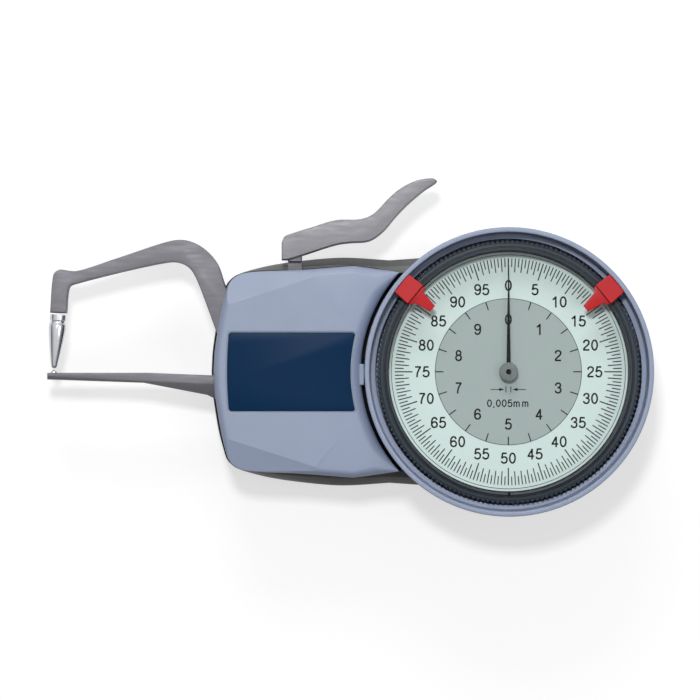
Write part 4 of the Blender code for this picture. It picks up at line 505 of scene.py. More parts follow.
BY_SLOT = {
    "blue_paint": blue_paint,
    "dark_paint": dark_paint,
    "plate_blue": plate_paint,
    "grey_steel": arm_steel,
    "steel": bright_steel,
    "hard_chrome": chrome,
    "brass": gear_brass,
    "black_plastic": seal_rubber,
    "dial_grey": dial_white,
    "clear": glass,
    "red_plastic": red_plastic,
    "black_metal": hand_black,
}
for subpart in frame["record"]["subparts"]:
    node = frame["nodes"].get(subpart["node"])
    if node:
        for holder in node.material_slots:
            holder.material = BY_SLOT[subpart["material_slot"]]


# ---------------------------------------------------------------- housing

FRONT_POINTS = [
    (-64.20, 0.00), (-63.98, 4.18), (-63.40, 8.31), (-62.51, 13.46), (-61.62, 17.12), (-61.12, 18.79),
    (-60.12, 20.18), (-58.74, 21.09), (-56.30, 21.67), (-45.00, 22.20), (-39.48, 22.62), (-34.60, 23.01),
    (-33.83, 23.06), (-33.06, 22.99), (-28.60, 22.39),
]
REAR_POINTS = [
    (-64.90, 0.00), (-64.67, 4.27), (-64.12, 8.41), (-63.21, 13.68), (-62.24, 17.44), (-61.65, 19.20),
    (-60.55, 20.46), (-58.80, 21.51), (-54.00, 22.94), (-48.50, 23.95), (-38.50, 25.00), (-34.10, 25.05),
    (-25.80, 24.50),
]
PIVOT = (-46.53, 0.0)
CURVE_STEPS = 5

REAR_TOP = 10.9
REAR_FLOOR = 2.0
REAR_WALL = 3.0
REAR_DIAL_R = 31.1
REAR_DIAL_END_Y = 24.9996
REAR_EDGE = 1.2
REAR_SEAM_LEVELS = ((2.2, 0.0), (1.1, 0.7), (0.0, 1.7))
SCREW_WELL_R = 2.2
SCREW_WELL_TOP = 1.9

FRONT_BOTTOM = 11.2
FRONT_TOP = 22.0
FRONT_ROOF = 19.2
FRONT_WALL = 1.8
FRONT_EDGE = 1.6
FRONT_EDGE_EXTRA = 0.9
FACET_START = (-62.92, 13.99)
FACET_END = (-37.98, 22.04)
FACET_TILT = 12
DIAL_SIDE_R = 32.1
DIAL_SIDE_END = (-23.72, 21.63)
ARM_WAY = ((-66, 3.9, 10), (-55.68, 24, 15.5))
FIXED_ARM_WAY = ((-66, -8.0, 10), (-61.8, -0.45, 15.5))
STEM_WAY = ((-48.67, 14, 10), (-39.99, 24, 15.5))
SECTOR_WAY = ((-36, -1.3, 15.2), (-25, 12.4, 16.8))
KEY_BLOCK = ((-33.0, -2.9, 18.0), (-31.45, 1.7, 20.9))
SEAM_LEVELS = (10.93, 11.19)
# Half the angle of the black painted-shade sheet in the gap beside the dial.
GAP_SHADE_HALF_ANGLE = 42.0

PLATE_BOTTOM = 21.6
PLATE_TOP = 22.2
PLATE_BED = 21.3
PLATE_LEFT = -60.8
PLATE_HALF = 8.5
PLATE_SIDE = 8.1
PLATE_ARC_R = 34.4


def mirrored(upper):
    """A half outline from the left end round to its last point, with its mirror image below."""
    lower = [(x, -y) for x, y in upper[1:]]
    return [upper[0]] + lower, list(reversed(upper[1:]))


def front_loop():
    """The front shell's outline, and for each of its points whether it lies beside the dial."""
    low, high = mirrored(flow(FRONT_POINTS, CURVE_STEPS))
    half = degrees(atan2(DIAL_SIDE_END[1], -DIAL_SIDE_END[0]))
    side = arc(DIAL_SIDE_R, 180 + half, 180 - half, 60)
    return low + side + high, [0] * len(low) + [1] * len(side) + [0] * len(high)


def rear_loop():
    low, high = mirrored(flow(REAR_POINTS, CURVE_STEPS))
    half = degrees(atan2(REAR_DIAL_END_Y, -sqrt(REAR_DIAL_R**2 - REAR_DIAL_END_Y**2)))
    return low + arc(REAR_DIAL_R, -half, half, 150) + high


def rear_seam(loop, width):
    """The rear shell's front edge, drawn in where the outline stands out past the front shell."""
    moved = []
    for near, far in zip(loop, inset(loop, width)):
        share = min(abs(near[1]) / 25.1, 1.0) ** 6 if near[0] < -15.55 else 0.0
        moved.append((near[0] + (far[0] - near[0]) * share, near[1] + (far[1] - near[1]) * share))
    return moved


SCREW_SHARES = ((-0.812, 0.746), (-0.550, 0.806), (-0.812, -0.746), (-0.550, -0.806))
HOUSING_SCREWS = [(x * 64.2, y * 23.2) for x, y in SCREW_SHARES]
CASE_SCREW_R = 27.4
CASE_SCREWS = [(CASE_SCREW_R * cos(radians(a)), CASE_SCREW_R * sin(radians(a))) for a in (50, 218, 305)]


def make_rear_shell():
    loop = rear_loop()
    turns = [QUARTER * i / 5 for i in range(6)]
    levels = [(inset(loop, REAR_EDGE * (1 - sin(a))), REAR_EDGE * (1 - cos(a))) for a in turns]
    for drop, width in REAR_SEAM_LEVELS:
        levels.append((rear_seam(loop, width) if width else loop, REAR_TOP - drop))
    hollow = inset(loop, REAR_WALL)
    wells = [prism(circle(SCREW_WELL_R, 40, x, y), -1, SCREW_WELL_TOP) for x, y in HOUSING_SCREWS + CASE_SCREWS]
    shell = cut(stack(levels), [prism(hollow, REAR_FLOOR, REAR_TOP + 1)] + wells)
    add("rear_shell_dressed", shell, dark_paint, "case", ["rear_shell"], smooth=28)


def sloped(bm, start, end, top, tilt, side):
    """Takes away what lies over a plane that tilts down from the line start to end."""
    along = Vector((end[0] - start[0], end[1] - start[1], 0)).normalized()
    outward = Vector((-along.y, along.x, 0)) * side
    normal = outward * sin(radians(tilt)) + Vector((0, 0, cos(radians(tilt))))
    geometry = list(bm.verts) + list(bm.edges) + list(bm.faces)
    done = bmesh.ops.bisect_plane(
        bm, geom=geometry, dist=WELD, plane_co=(*start, top), plane_no=normal, clear_outer=True
    )
    edges = [item for item in done["geom_cut"] if isinstance(item, bmesh.types.BMEdge)]
    bmesh.ops.contextual_create(bm, geom=edges)


def plate_loop(grow=0.0):
    """The name plate's outline, with a bowed left side and a right side that follows the dial."""
    heights = (PLATE_SIDE, 6, 4, 2, 0, -2, -4, -6, -PLATE_SIDE)
    left = [(PLATE_LEFT - 0.4 * (1 - (y / PLATE_HALF) ** 2), y) for y in heights]
    half = degrees(atan2(PLATE_SIDE, sqrt(PLATE_ARC_R**2 - PLATE_SIDE**2)))
    right = arc(PLATE_ARC_R, 180 + half, 180 - half, 16)
    loop = left + [(PLATE_LEFT + 0.4, -PLATE_HALF), (right[0][0] - 0.4, -PLATE_HALF)] + right
    loop += [(right[-1][0] - 0.4, PLATE_HALF), (PLATE_LEFT + 0.4, PLATE_HALF)]
    return inset(loop, -grow) if grow else loop


def soft_shell(loop, beside, bottom, top, radius, extra):
    """A prism whose top rim is rounded, with a wider round beside the dial."""
    unit = inset(loop, 1.0)
    count = len(loop)
    radii = []
    for i in range(count):
        near = sum(beside[(i + k) % count] for k in range(-6, 7)) / 13
        corner = hypot(loop[i][0] - DIAL_SIDE_END[0], abs(loop[i][1]) - DIAL_SIDE_END[1])
        radii.append(min(radius + extra * near, 0.05 + 0.37 * corner))
    places = [[(x, y, bottom) for x, y in loop]]
    for k in range(13):
        a = QUARTER * k / 12
        ring = []
        for (x, y), (u, v), r in zip(loop, unit, radii):
            d = r * (1 - cos(a))
            ring.append((x + (u - x) * d, y + (v - y) * d, top - r * (1 - sin(a))))
        places.append(ring)
    return skin(places)


def make_front_shell():
    loop, beside = front_loop()
    body = soft_shell(loop, beside, FRONT_BOTTOM, FRONT_TOP, FRONT_EDGE, FRONT_EDGE_EXTRA)
    bmesh.ops.triangulate(body, faces=[face for face in body.faces if len(face.verts) > 4])
    for side in (1, -1):
        start, end = ((x, y * side) for x, y in (FACET_START, FACET_END))
        sloped(body, start, end, FRONT_TOP, FACET_TILT, side)
    cavity = [point for point in inset(loop, FRONT_WALL) if point[0] < -30 or abs(point[1]) < 18]
    ways = [block(*way) for way in (ARM_WAY, FIXED_ARM_WAY, STEM_WAY, SECTOR_WAY)]
    bed = prism(plate_loop(0.3), PLATE_BED, FRONT_TOP + 1)
    body = cut(body, [prism(cavity, FRONT_BOTTOM - 1, FRONT_ROOF)] + ways + [bed])
    join(body, block(*KEY_BLOCK, 0.1))
    add("front_shell_dressed", body, blue_paint, "case", ["front_shell"], smooth=10.5)


def make_seams():
    """Painted shade: black strips in the seam gap between the halves, wider at the left end, and a black sheet down in
    the gap beside the dial.
    """
    loop, _ = front_loop()
    # Painted shade: a black strip in the seam gap that stands out past the front shell, wider at the left end.
    seam = []
    for (x, y), (u, v) in zip(loop, inset(loop, -1.0)):
        far = 0.3 + 0.25 * min(max((-58 - x) / 4, 0), 1)
        seam.append((x + (u - x) * far, y + (v - y) * far) if x < -28 else (x, y))
    strip = cut(prism(seam, *SEAM_LEVELS), [prism(inset(loop, 1.2), 10, 12)])
    add("housing_seam_painted_shade", strip, seam_shade_and_mark_black, "case")
    # Painted shade: a black sheet down in the gap between the front shell and the dial case.
    half = GAP_SHADE_HALF_ANGLE
    gap = arc(32.6, 180 + half, 180 - half, 40) + arc(31.42, 180 - half, 180 + half, 40)
    add("dial_gap_painted_shade", prism(gap, 17.2, 17.5), seam_shade_and_mark_black, "case")


def border(loop, width, bottom, top):
    """A narrow band that follows a closed outline."""
    bm = bmesh.new()
    inner = inset(loop, width)
    rings = []
    for ring, z in ((loop, bottom), (loop, top), (inner, top), (inner, bottom)):
        rings.append([bm.verts.new((x, y, z)) for x, y in ring])
    for a, b in zip(rings, rings[1:] + rings[:1]):
        for i in range(len(loop)):
            j = (i + 1) % len(loop)
            bm.faces.new((a[i], a[j], b[j], b[i]))
    return bm


def make_name_plate():
    plate = soft_prism(plate_loop(), PLATE_BOTTOM, PLATE_TOP, 0.0, 0.12, 4)
    add("name_plate_dressed", plate, plate_paint, "case", ["name_plate"], smooth=40)
    # Painted highlight: a light band in the gap between the plate and its bed, where the bed's edge catches light.
    line = border(plate_loop(0.28), 0.2, 21.35, 21.95)
    add("plate_bed_highlight_band", line, plate_bed_highlight, "case")


CASE_R = 31.35


def make_dial_case():
    turns = [QUARTER * i / 5 for i in range(6)]
    edge = [(31.1 + 0.25 * cos(a), 26.75 + 0.25 * sin(a)) for a in turns]
    inner = [(30.5 - 0.2 * sin(a), 26.8 + 0.2 * cos(a)) for a in turns]
    trough = [(30.26, 26.5), (30.1, 22.4), (29.9, 22.1), (28.95, 22.0)]
    bore = [(28.95, 18.4), (27.2, 18.4), (27.2, 17.4), (28.95, 17.4), (28.95, FRONT_BOTTOM)]
    case = lathe([(CASE_R, FRONT_BOTTOM)] + edge + inner + trough + bore, 240)
    case = cut(case, [block(*SECTOR_WAY)])
    add("dial_case_dressed", case, blue_paint, "case", ["dial_case"], smooth=24)
    # Painted shade: a black ring in the seam gap under the dial case.
    low, high = SEAM_LEVELS
    ring = lathe([(29.2, low), (30.95, low), (30.95, high), (29.2, high)], 160)
    add("dial_case_seam_painted_shade", ring, seam_shade_and_mark_black, "case")


make_rear_shell()
make_front_shell()
make_seams()
make_name_plate()
make_dial_case()


# ---------------------------------------------------------------- bezel, dial and window

KNURLS = 165
KNURL_DEPTHS = {2: 0.52, 3: 0.52, 4: 0.52, 5: 0.45, 6: 0.2}
HUB_KNURLS = 30
HUB_KNURL_DEPTH = 0.12
DIAL_TOP = 20.6
INK_TOP = 20.63
FIELD_R = 15.93
TICK_R = 24.7
FIGURE_HEIGHT = 2.42
OUTER_FIGURE_R = 18.8
INNER_FIGURE_R = 11.4
ARROW_Y = -3.86


def make_bezel():
    """The turning ring: a face that steps down outward to a notched edge."""
    profile = [
        (28.2, 18.7), (28.2, 21.0), (28.72, 21.2), (28.75, 21.5), (28.75, 24.1), (28.6, 24.3), (28.3, 24.4),
        (27.98, 24.45), (27.86, 24.85), (27.3, 25.0), (27.24, 24.7), (27.1, 24.7), (27.06, 25.2), (26.76, 25.32),
        (26.68, 25.7), (26.6, 25.8), (26.36, 25.8), (26.27, 25.7), (26.27, 25.3), (26.98, 25.25), (27.05, 24.4),
        (27.15, 23.5), (27.15, 22.8), (26.34, 22.8), (26.34, 19.6), (24.6, 19.6), (24.6, 18.7),
    ]

    def notch(k, r, z, a):
        return r - KNURL_DEPTHS.get(k, 0.0) * (1 + cos(a * KNURLS)) / 2, z

    ring = lathe(profile, KNURLS * 6, shape=notch)
    add("bezel_dressed", ring, bezel_metal, "bezel", ["bezel"], smooth=50)
    dent = lathe([(0.0, 25.78), (0.3, 25.78), (0.3, 25.83), (0.0, 25.83)], 24, 0.0, -26.5, closed=False)
    add("bezel_mark", dent, seam_shade_and_mark_black, "bezel")


def make_crystal():
    profile = [(0, 23.8), (26.7, 23.8), (26.8, 23.9), (26.8, 24.9), (26.5, 25.2), (0, 25.2)]
    add("crystal_dressed", lathe(profile, 180, closed=False), glass, "bezel", ["crystal"], smooth=40)
    seal = [
        (26.45, 23.15), (26.5, 23.1), (27.1, 23.1), (27.15, 23.15),
        (27.15, 23.45), (27.1, 23.5), (26.5, 23.5), (26.45, 23.45),
    ]
    add("crystal_seal_dressed", lathe(seal, 180), seal_rubber, "bezel", ["crystal_seal"], smooth=40)


def bar(angle, inner, outer, width, bottom, top):
    """A short radial line. The angle runs clockwise from the top, in degrees."""
    a = radians(90 - angle)
    across = Vector((-sin(a), cos(a))) * width / 2
    near, far = Vector((cos(a), sin(a))) * inner, Vector((cos(a), sin(a))) * outer
    loop = [tuple(near - across), tuple(far - across), tuple(far + across), tuple(near + across)]
    return prism(loop, bottom, top)


def stroke(points, width, bottom, top):
    """A flat line of ink along points, with a square section."""
    rings = []
    for i, here in enumerate(points):
        before, after = Vector(points[max(i - 1, 0)]), Vector(points[min(i + 1, len(points) - 1)])
        here = Vector(here)
        a = (here - before).normalized() if i else (after - here).normalized()
        b = (after - here).normalized() if i < len(points) - 1 else a
        normal = Vector((-(a.y + b.y), a.x + b.x)).normalized()
        side = normal * (width / 2 / max(normal.dot(Vector((-a.y, a.x))), 0.5))
        left, right = here + side, here - side
        rings.append([(*left, bottom), (*right, bottom), (*right, top), (*left, top)])
    return skin(rings)


def ellipse(x, y, wide, high):
    return [(x + wide * cos(2 * pi * i / 28), y + high * sin(2 * pi * i / 28)) for i in range(29)]


# Each figure has its width and its lines, in shares of its height. SIX is also the 9, turned round.
SIX = [
    (0.47, 0.72), (0.43, 0.86), (0.31, 0.935), (0.19, 0.90), (0.10, 0.78), (0.065, 0.60), (0.06, 0.42), (0.08, 0.22),
    (0.16, 0.10), (0.29, 0.065), (0.42, 0.12), (0.49, 0.24), (0.49, 0.38), (0.42, 0.51), (0.30, 0.56), (0.17, 0.52),
    (0.08, 0.40),
]
GLYPHS = {
    "0": (0.56, [ellipse(0.28, 0.5, 0.215, 0.435)]),
    "1": (0.56, [[(0.09, 0.70), (0.21, 0.78), (0.31, 0.90), (0.33, 0.96)], [(0.34, 1.0), (0.34, 0.0)]]),
    "2": (0.56, [flow([(0.065, 0.68), (0.09, 0.82), (0.17, 0.91), (0.28, 0.935), (0.40, 0.90), (0.475, 0.81),
                       (0.48, 0.68), (0.43, 0.56), (0.32, 0.44), (0.16, 0.28), (0.08, 0.15), (0.065, 0.065)], 2),
                 [(0.03, 0.065), (0.52, 0.065)]]),
    "3": (0.56, [flow([(0.07, 0.70), (0.11, 0.84), (0.20, 0.92), (0.30, 0.935), (0.41, 0.89), (0.46, 0.79),
                       (0.45, 0.66), (0.37, 0.56), (0.22, 0.53)], 2),
                 flow([(0.24, 0.53), (0.38, 0.51), (0.475, 0.42), (0.49, 0.28), (0.43, 0.13), (0.31, 0.065),
                       (0.19, 0.075), (0.09, 0.15), (0.06, 0.27)], 2)]),
    "4": (0.56, [[(0.37, 0.0), (0.37, 0.96)], [(0.38, 0.93), (0.05, 0.29)], [(0.0, 0.29), (0.53, 0.29)]]),
    "5": (0.56, [[(0.48, 0.935), (0.13, 0.935)], [(0.15, 0.97), (0.075, 0.46)],
                 flow([(0.085, 0.48), (0.17, 0.58), (0.29, 0.61), (0.42, 0.56), (0.495, 0.44), (0.49, 0.28),
                       (0.43, 0.13), (0.31, 0.065), (0.18, 0.075), (0.09, 0.14), (0.06, 0.25)], 2)]),
    "6": (0.56, [flow(SIX, 2)]),
    "7": (0.56, [[(0.05, 0.935), (0.52, 0.935)],
                 flow([(0.49, 0.93), (0.38, 0.75), (0.29, 0.55), (0.23, 0.32), (0.205, 0.0)], 2)]),
    "8": (0.56, [ellipse(0.28, 0.735, 0.175, 0.20), ellipse(0.28, 0.295, 0.215, 0.235)]),
    "9": (0.56, [[(0.56 - x, 1 - y) for x, y in flow(SIX, 2)]]),
    ",": (0.24, [[(0.12, 0.1), (0.12, 0.0), (0.07, -0.14)]]),
    "m": (0.88, [[(0.07, 0.0), (0.07, 0.72)],
                 flow([(0.07, 0.5), (0.12, 0.63), (0.23, 0.68), (0.33, 0.63), (0.36, 0.5),
                       (0.36, 0.25), (0.36, 0.0)], 2),
                 flow([(0.36, 0.5), (0.42, 0.63), (0.53, 0.68), (0.63, 0.63), (0.66, 0.5),
                       (0.66, 0.25), (0.66, 0.0)], 2)]),
}


def words(text, height, x, y, bottom, weight=0.15, wide=1.12, gap=0.105):
    """Plain figures drawn as lines, centred on a place."""
    total = sum(GLYPHS[sign][0] * wide + gap for sign in text) - gap
    left = x - total * height / 2
    bm = bmesh.new()
    for sign in text:
        width, lines = GLYPHS[sign]
        for k, line in enumerate(lines):
            places = [(left + u * wide * height, y + (v - 0.5) * height) for u, v in line]
            join(bm, stroke(places, weight * height, bottom, bottom + 0.02 + 0.001 * k))
        left += (width * wide + gap) * height
    return bm


def make_dial():
    plate = [(0, 19.9), (25.94, 19.9), (26.04, 20.0), (26.04, 20.55), (25.99, DIAL_TOP), (0, DIAL_TOP)]
    add("dial_plate_dressed", lathe(plate, 180, closed=False), dial_white, "bezel", ["dial_plate"], smooth=40)
    disc = [(0.7, DIAL_TOP), (FIELD_R, DIAL_TOP), (FIELD_R, 20.615), (0.7, 20.615)]
    add("dial_inner_field", lathe(disc, 160), dial_inner, "bezel")
    low, high = DIAL_TOP, INK_TOP
    ink = lathe([(25.42, low), (25.54, low), (25.54, high), (25.42, high)], 180)
    join(ink, lathe([(15.87, low), (15.99, low), (15.99, high), (15.87, high)], 160))
    for i in range(200):
        inner = 20.9 if i % 10 == 0 else 21.7 if i % 2 == 0 else 22.8
        join(ink, bar(i * 1.8, inner, TICK_R, 0.22 if i % 10 else 0.25, low, high))
    for i in range(20):
        join(ink, bar(i * 18, 14.1, FIELD_R, 0.24, low, high + 0.002))
    for i in range(20):
        a = radians(90 - i * 18)
        join(ink, words(str(i * 5), FIGURE_HEIGHT, OUTER_FIGURE_R * cos(a), OUTER_FIGURE_R * sin(a), low))
    for i in range(10):
        a = radians(90 - i * 36)
        join(ink, words(str(i), FIGURE_HEIGHT, INNER_FIGURE_R * cos(a), INNER_FIGURE_R * sin(a), low + 0.01))
    join(ink, words("0,005mm", 1.62, 0.0, -6.85, low + 0.01, 0.155, 1.17, 0.13))
    for side in (-1, 1):
        join(ink, block((side * 0.53 - 0.09, -4.5, low), (side * 0.53 + 0.09, -3.2, high)))
        tail, tip = sorted((side * 3.85, side * 1.2))
        join(ink, block((tail, ARROW_Y - 0.08, low), (tip, ARROW_Y + 0.08, high)))
        rise = side * 0.34
        arrow = [(side * 0.85, ARROW_Y), (side * 2.0, ARROW_Y - rise), (side * 2.0, ARROW_Y + rise)]
        join(ink, prism(arrow, low, high + 0.001))
    add("dial_print", ink, print_black, "bezel", smooth=20)


def make_hands():
    low, high = 21.7, 22.0
    loop = [(0.47, 0.0), (0.08, 23.4), (-0.08, 23.4), (-0.47, 0.0)]
    hand = soft_prism(loop, low, high, 0.0, 0.03, 2)
    join(hand, lathe([(0.65, low), (1.6, low), (1.6, high - 0.08), (1.5, high), (0.65, high)], 64))
    add("main_hand_dressed", hand, hand_black, "centre", ["main_hand"], smooth=40)

    slow = soft_prism([(0.4, 0.0), (0.1, 12.2), (-0.1, 12.2), (-0.4, 0.0)], 21.0, 21.3, 0.0, 0.03, 2)
    join(slow, lathe([(0.9, 21.0), (1.5, 21.0), (1.5, 21.25), (1.45, 21.3), (0.9, 21.3)], 64))
    add("counter_hand_dressed", slow, hand_black, "counter", ["counter_hand"], smooth=40)

    def knurl(k, r, z, a):
        return r - (HUB_KNURL_DEPTH * (1 + cos(a * HUB_KNURLS)) / 2 if 1 <= k <= 3 else 0.0), z

    profile = [(0, 22.1), (2.0, 22.1), (2.1, 22.2), (2.1, 22.7), (1.9, 22.9), (0, 22.9)]
    hub = lathe(profile, 192, shape=knurl, closed=False)
    add("hand_hub_dressed", hub, hub_metal, "centre", ["hand_hub"], smooth=50)
    add("hub_dot", lathe([(0, 22.9), (0.28, 22.9), (0.28, 22.93), (0, 22.93)], 32, closed=False), hand_black, "centre")


MARKER_ANGLE = 50.5


def make_marker(side, name):
    """A red marker: a block on the bezel's rim, with a narrower tongue that reaches in over the dial."""
    turn = radians(90 - MARKER_ANGLE * side)

    def at(across, r):
        return r * cos(turn) + across * sin(turn), r * sin(turn) - across * cos(turn)

    outer = [at(2.28 * t / 4, 30.05 - 0.06 * (t / 4) ** 2) for t in range(-4, 5)]
    head = [at(2.45, 26.5), *reversed(outer), at(-2.45, 26.5)]
    body = soft_prism(list(reversed(head)), 26.1, 27.2, 0.08, 0.2, 4)
    half = [(2.4, 26.9), (2.4, 25.6), (1.5, 25.35), (0.83, 21.5)]
    tongue = [at(-across, r) for across, r in half] + [at(across, r) for across, r in reversed(half)]
    join(body, soft_prism(tongue, 25.85, 26.45, 0.06, 0.12, 4))
    add(name + "_dressed", body, red_plastic, name.replace("tolerance_", ""), [name], smooth=40)


make_bezel()
make_crystal()
make_dial()
make_hands()
make_marker(-1, "tolerance_marker_left")
make_marker(1, "tolerance_marker_right")


# ---------------------------------------------------------------- arms, contacts and lever

ARM_BOTTOM = 11.2
ARM_TOP = 15.2
HUB_R = 7.0
STEM_FLAT = ((-49.5, 15.0, 13.4), (-43.5, 24.2, 16.0))
LEVER_BOTTOM = 9.7
LEVER_TOP = 16.7
TIP_LENGTH = 11.8
TIP_LEAN = 4.8
TIP_HEIGHT = 13.2
ARM_POINTS = [
    (-100.26, 12.91), (-99.72, 20.21), (-99.35, 21.61), (-98.13, 22.36), (-96.15, 22.16), (-94.48, 22.07),
    (-84.87, 25.11), (-74.81, 28.42), (-72.07, 28.91), (-69.61, 28.62), (-66.57, 27.09), (-63.52, 23.75),
    (-61.83, 19.14), (-58.75, 11.19),
]
ARM_INNER = [
    (-53.08, 0.17), (-57.59, 0.70), (-60.60, 2.20), (-62.21, 4.50), (-63.98, 9.25), (-68.85, 21.61),
    (-70.22, 23.06), (-72.07, 23.84), (-74.20, 23.90), (-94.33, 19.23), (-95.70, 18.71), (-96.09, 17.78),
    (-96.52, 12.76),
]
FIXED_POINTS = [
    (-100.87, -0.26), (-100.87, -1.74), (-79.70, -2.47), (-65.81, -5.10), (-64.52, -5.72), (-61.73, -7.28),
    (-60.60, -12.80), (-52.49, -12.80), (-52.49, -6.76), (-53.03, -5.07), (-54.48, -2.86), (-54.48, -0.75),
    (-64.60, -0.82), (-78.70, -0.26),
]
LEVER_POINTS = [
    (-48.08, 24.41), (-44.88, 25.38), (-37.41, 27.74), (-34.65, 28.15), (-30.21, 28.57), (-27.14, 30.66),
    (-24.66, 33.57), (-21.86, 36.49), (-18.28, 39.53), (-15.38, 41.65), (-15.89, 42.23), (-16.54, 42.41),
    (-19.95, 41.89), (-23.56, 40.09), (-26.29, 37.71), (-29.09, 34.81), (-31.00, 33.77), (-32.98, 33.36),
    (-37.41, 33.25), (-42.97, 31.63), (-47.23, 30.31), (-48.80, 29.63), (-49.48, 28.32),
]


def arm_loop():
    """The moving arm with its hub, its stem toward the lever and its spring lobe."""
    outer = flow(ARM_POINTS)
    inner = flow(ARM_INNER)
    loop = list(outer)
    loop += arc(HUB_R, 118, 102.7, 6, *PIVOT) + [(-48.065, 28.3), (-44.995, 28.3)]
    loop += arc(HUB_R, 77.3, -72.6, 40, *PIVOT)
    loop += arc(2.1, 0, -180, 16, PIVOT[0], -9.5)
    loop += arc(HUB_R, -107.4, -176, 20, *PIVOT)
    loop += inner
    return list(reversed(loop))


def make_moving_arm():
    arm = soft_prism(arm_loop(), ARM_BOTTOM, ARM_TOP, 0.3, 0.1, 3, draft=0.2)
    arm = cut(arm, [prism(circle(1.65, 48, *PIVOT), 10, 16), block(*STEM_FLAT)])
    add("moving_arm_dressed", arm, arm_steel, "moving_arm", ["moving_arm"], smooth=35)


def make_fixed_arm():
    arm = soft_prism(FIXED_POINTS, ARM_BOTTOM, ARM_TOP, 0.15, 0.08, 3, draft=0.14)
    sloped(arm, (-100.87, -0.98), (-79.70, -2.0), ARM_TOP, 35, -1)
    add("fixed_arm_dressed", arm, arm_steel, "case", ["fixed_arm"], smooth=35)


def make_lever():
    loop = flow(LEVER_POINTS, CURVE_STEPS) + [(-49.48, 24.41)]
    lever = soft_prism(loop, LEVER_BOTTOM, LEVER_TOP, 0.4, 0.1, 4, draft=0.22)
    add("lift_lever_dressed", lever, lever_steel, "moving_arm", ["lift_lever"], smooth=35)


def make_tip():
    """The slim contact: a neck, a long cone and a small ball end, leaning a little."""
    low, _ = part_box("contact_tip")
    foot = Vector((-99.4, low.y / MM, TIP_HEIGHT))
    lean = radians(TIP_LEAN)
    way = Vector((sin(lean), cos(lean), 0))
    shares = [
        (0.0, 0.0), (0.3, 0.006), (0.52, 0.02), (0.66, 0.04), (0.73, 0.062), (1.0, 0.19), (1.24, 0.31), (1.5, 0.45),
        (1.72, 0.58), (1.87, 0.68), (1.92, 0.75), (1.9, 0.8), (1.84, 0.83), (1.7, 0.85), (1.66, 0.87), (1.72, 0.89),
        (1.84, 0.9), (1.84, 1.0), (0.0, 1.0),
    ]
    profile = [(r, t * TIP_LENGTH) for r, t in shares]
    tip = turned_along(profile, 64, foot, way)
    add("contact_tip_dressed", tip, chrome, "moving_arm", ["contact_tip"], smooth=30)


def make_anvil():
    """The small domed contact in the fixed arm."""
    low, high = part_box("fixed_anvil")
    low, high = low / MM, high / MM
    foot = ((low.x + high.x) / 2, low.y, (low.z + high.z) / 2)
    profile = [
        (0.0, 0.0), (0.45, 0.0), (0.45, 0.6), (0.7, 0.6), (0.7, 0.75), (0.62, 0.92), (0.45, 1.05), (0.24, 1.13),
        (0.0, high.y - low.y),
    ]
    add("fixed_anvil_dressed", turned_along(profile, 40, foot, (0, 1, 0)), chrome, "case", ["fixed_anvil"])


make_moving_arm()
make_fixed_arm()
make_lever()
make_tip()
make_anvil()


# ---------------------------------------------------------------- floor, light and camera


FLOOR_HALF = 3.0
FLOOR_DROP = 0.0002
FLOOR_COLOUR = (0.5, 0.5, 0.5, 1)
FLOOR_GLOW = 0.62
SKY_WAY = (0.0, 0.45, 0.89)
SKY_RANGE = (("From Min", 0.1), ("From Max", 0.8), ("To Min", 0.14), ("To Max", 1.0))
SKY_FILL = 0.27


def math_of(tree, operation, first, second):
    """A math node of two values, each a socket or a number."""
    made = tree.nodes.new("ShaderNodeMath")
    made.operation = operation
    for socket, value in zip(made.inputs, (first, second)):
        if isinstance(value, bpy.types.NodeSocket):
            tree.links.new(value, socket)
        else:
            socket.default_value = value
    return made.outputs[0]


def make_floor():
    """A pale floor. It glows only where the camera, a mirror or glass sees it."""
    bm = bmesh.new()
    bmesh.ops.create_grid(bm, x_segments=1, y_segments=1, size=FLOOR_HALF)
    mesh = bpy.data.meshes.new("floor")
    bm.to_mesh(mesh)
    bm.free()
    floor = bpy.data.objects.new("floor", mesh)
    floor.location = (0, 0, -FLOOR_DROP)
    bpy.context.scene.collection.objects.link(floor)
    material = bpy.data.materials.new("floor_white")
    material.use_nodes = True
    tree = material.node_tree
    shader = tree.nodes["Principled BSDF"]
    shader.inputs["Base Color"].default_value = FLOOR_COLOUR
    shader.inputs["Roughness"].default_value = 0.9
    shader.inputs["Specular IOR Level"].default_value = 0.1
    path = tree.nodes.new("ShaderNodeLightPath")
    seen = path.outputs["Is Camera Ray"]
    for name in ("Is Glossy Ray", "Is Transmission Ray"):
        seen = math_of(tree, "MAXIMUM", seen, path.outputs[name])
    glow = tree.nodes.new("ShaderNodeEmission")
    tree.links.new(math_of(tree, "MULTIPLY", seen, FLOOR_GLOW), glow.inputs["Strength"])
    both = tree.nodes.new("ShaderNodeAddShader")
    tree.links.new(shader.outputs["BSDF"], both.inputs[0])
    tree.links.new(glow.outputs["Emission"], both.inputs[1])
    tree.links.new(both.outputs["Shader"], tree.nodes["Material Output"].inputs["Surface"])
    mesh.materials.append(material)


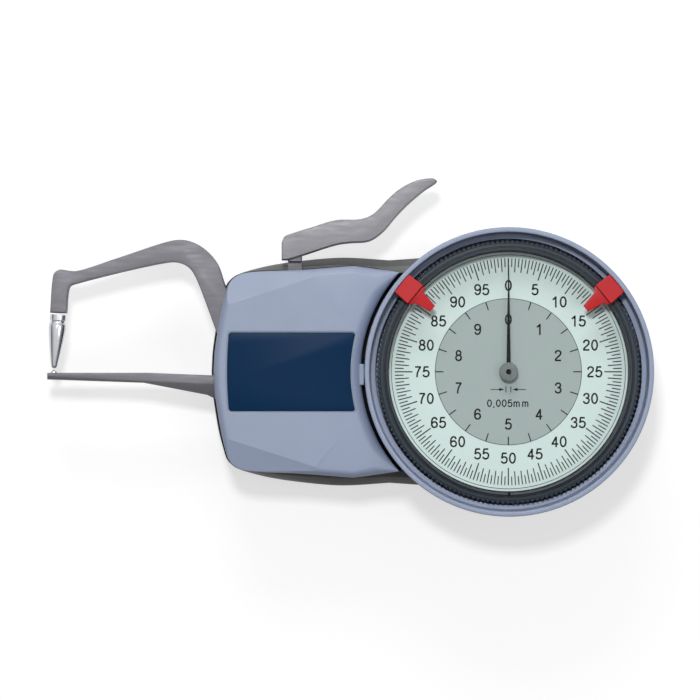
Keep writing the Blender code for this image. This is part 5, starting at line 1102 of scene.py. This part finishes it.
def make_world():
    """White overhead and toward the top, darker near the horizon, and a dim fill on the object."""
    world = bpy.data.worlds.new("studio")
    bpy.context.scene.world = world
    world.use_nodes = True
    tree = world.node_tree
    tree.nodes.clear()
    path = tree.nodes.new("ShaderNodeLightPath")
    place = tree.nodes.new("ShaderNodeTexCoord")
    aim = tree.nodes.new("ShaderNodeVectorMath")
    aim.operation = "DOT_PRODUCT"
    aim.inputs[1].default_value = SKY_WAY
    tree.links.new(place.outputs["Generated"], aim.inputs[0])
    level = tree.nodes.new("ShaderNodeMapRange")
    for name, value in SKY_RANGE:
        level.inputs[name].default_value = value
    tree.links.new(aim.outputs["Value"], level.inputs["Value"])
    light = tree.nodes.new("ShaderNodeMix")
    shown = math_of(tree, "MAXIMUM", path.outputs["Is Glossy Ray"], path.outputs["Is Transmission Ray"])
    tree.links.new(shown, light.inputs["Factor"])
    tree.links.new(math_of(tree, "MULTIPLY", level.outputs["Result"], SKY_FILL), light.inputs["A"])
    tree.links.new(level.outputs["Result"], light.inputs["B"])
    sky = tree.nodes.new("ShaderNodeBackground")
    sky.inputs["Color"].default_value = (1, 1, 1, 1)
    strength = math_of(tree, "MAXIMUM", path.outputs["Is Camera Ray"], light.outputs["Result"])
    tree.links.new(strength, sky.inputs["Strength"])
    out = tree.nodes.new("ShaderNodeOutputWorld")
    tree.links.new(sky.outputs["Background"], out.inputs["Surface"])


AIM = (-0.03, 0.0, 0.0)
CAMERA_PLACE = (-0.03448, 0.00474, 1.079)
CAMERA_LENS = 250
CAMERA_SENSOR = 36


def lamp(name, place, size, power):
    """An area lamp that looks at the middle of the object. Its size is in metres and its power in watts."""
    data = bpy.data.lights.new(name, "AREA")
    data.shape = "RECTANGLE"
    data.size, data.size_y = size
    data.energy = power
    item = bpy.data.objects.new(name, data)
    item.location = place
    item.rotation_mode = "QUATERNION"
    item.rotation_quaternion = (Vector(AIM) - Vector(place)).to_track_quat("-Z", "Y")
    bpy.context.scene.collection.objects.link(item)


def make_camera():
    data = bpy.data.cameras.new("camera")
    data.lens = CAMERA_LENS
    data.sensor_width = CAMERA_SENSOR
    data.clip_start, data.clip_end = 0.05, 10
    camera = bpy.data.objects.new("camera", data)
    camera.location = CAMERA_PLACE
    bpy.context.scene.collection.objects.link(camera)
    bpy.context.scene.camera = camera


make_floor()
make_world()
lamp("key", (-0.09, 0.29, 1.03), (0.11, 0.11), 5.0)
lamp("top", (-0.10, 0.90, 0.60), (0.5, 0.3), 3.4)
lamp("side", (0.60, -0.10, 1.0), (0.5, 0.5), 1.2)
make_camera()
bpy.context.scene.view_settings.view_transform = "Standard"
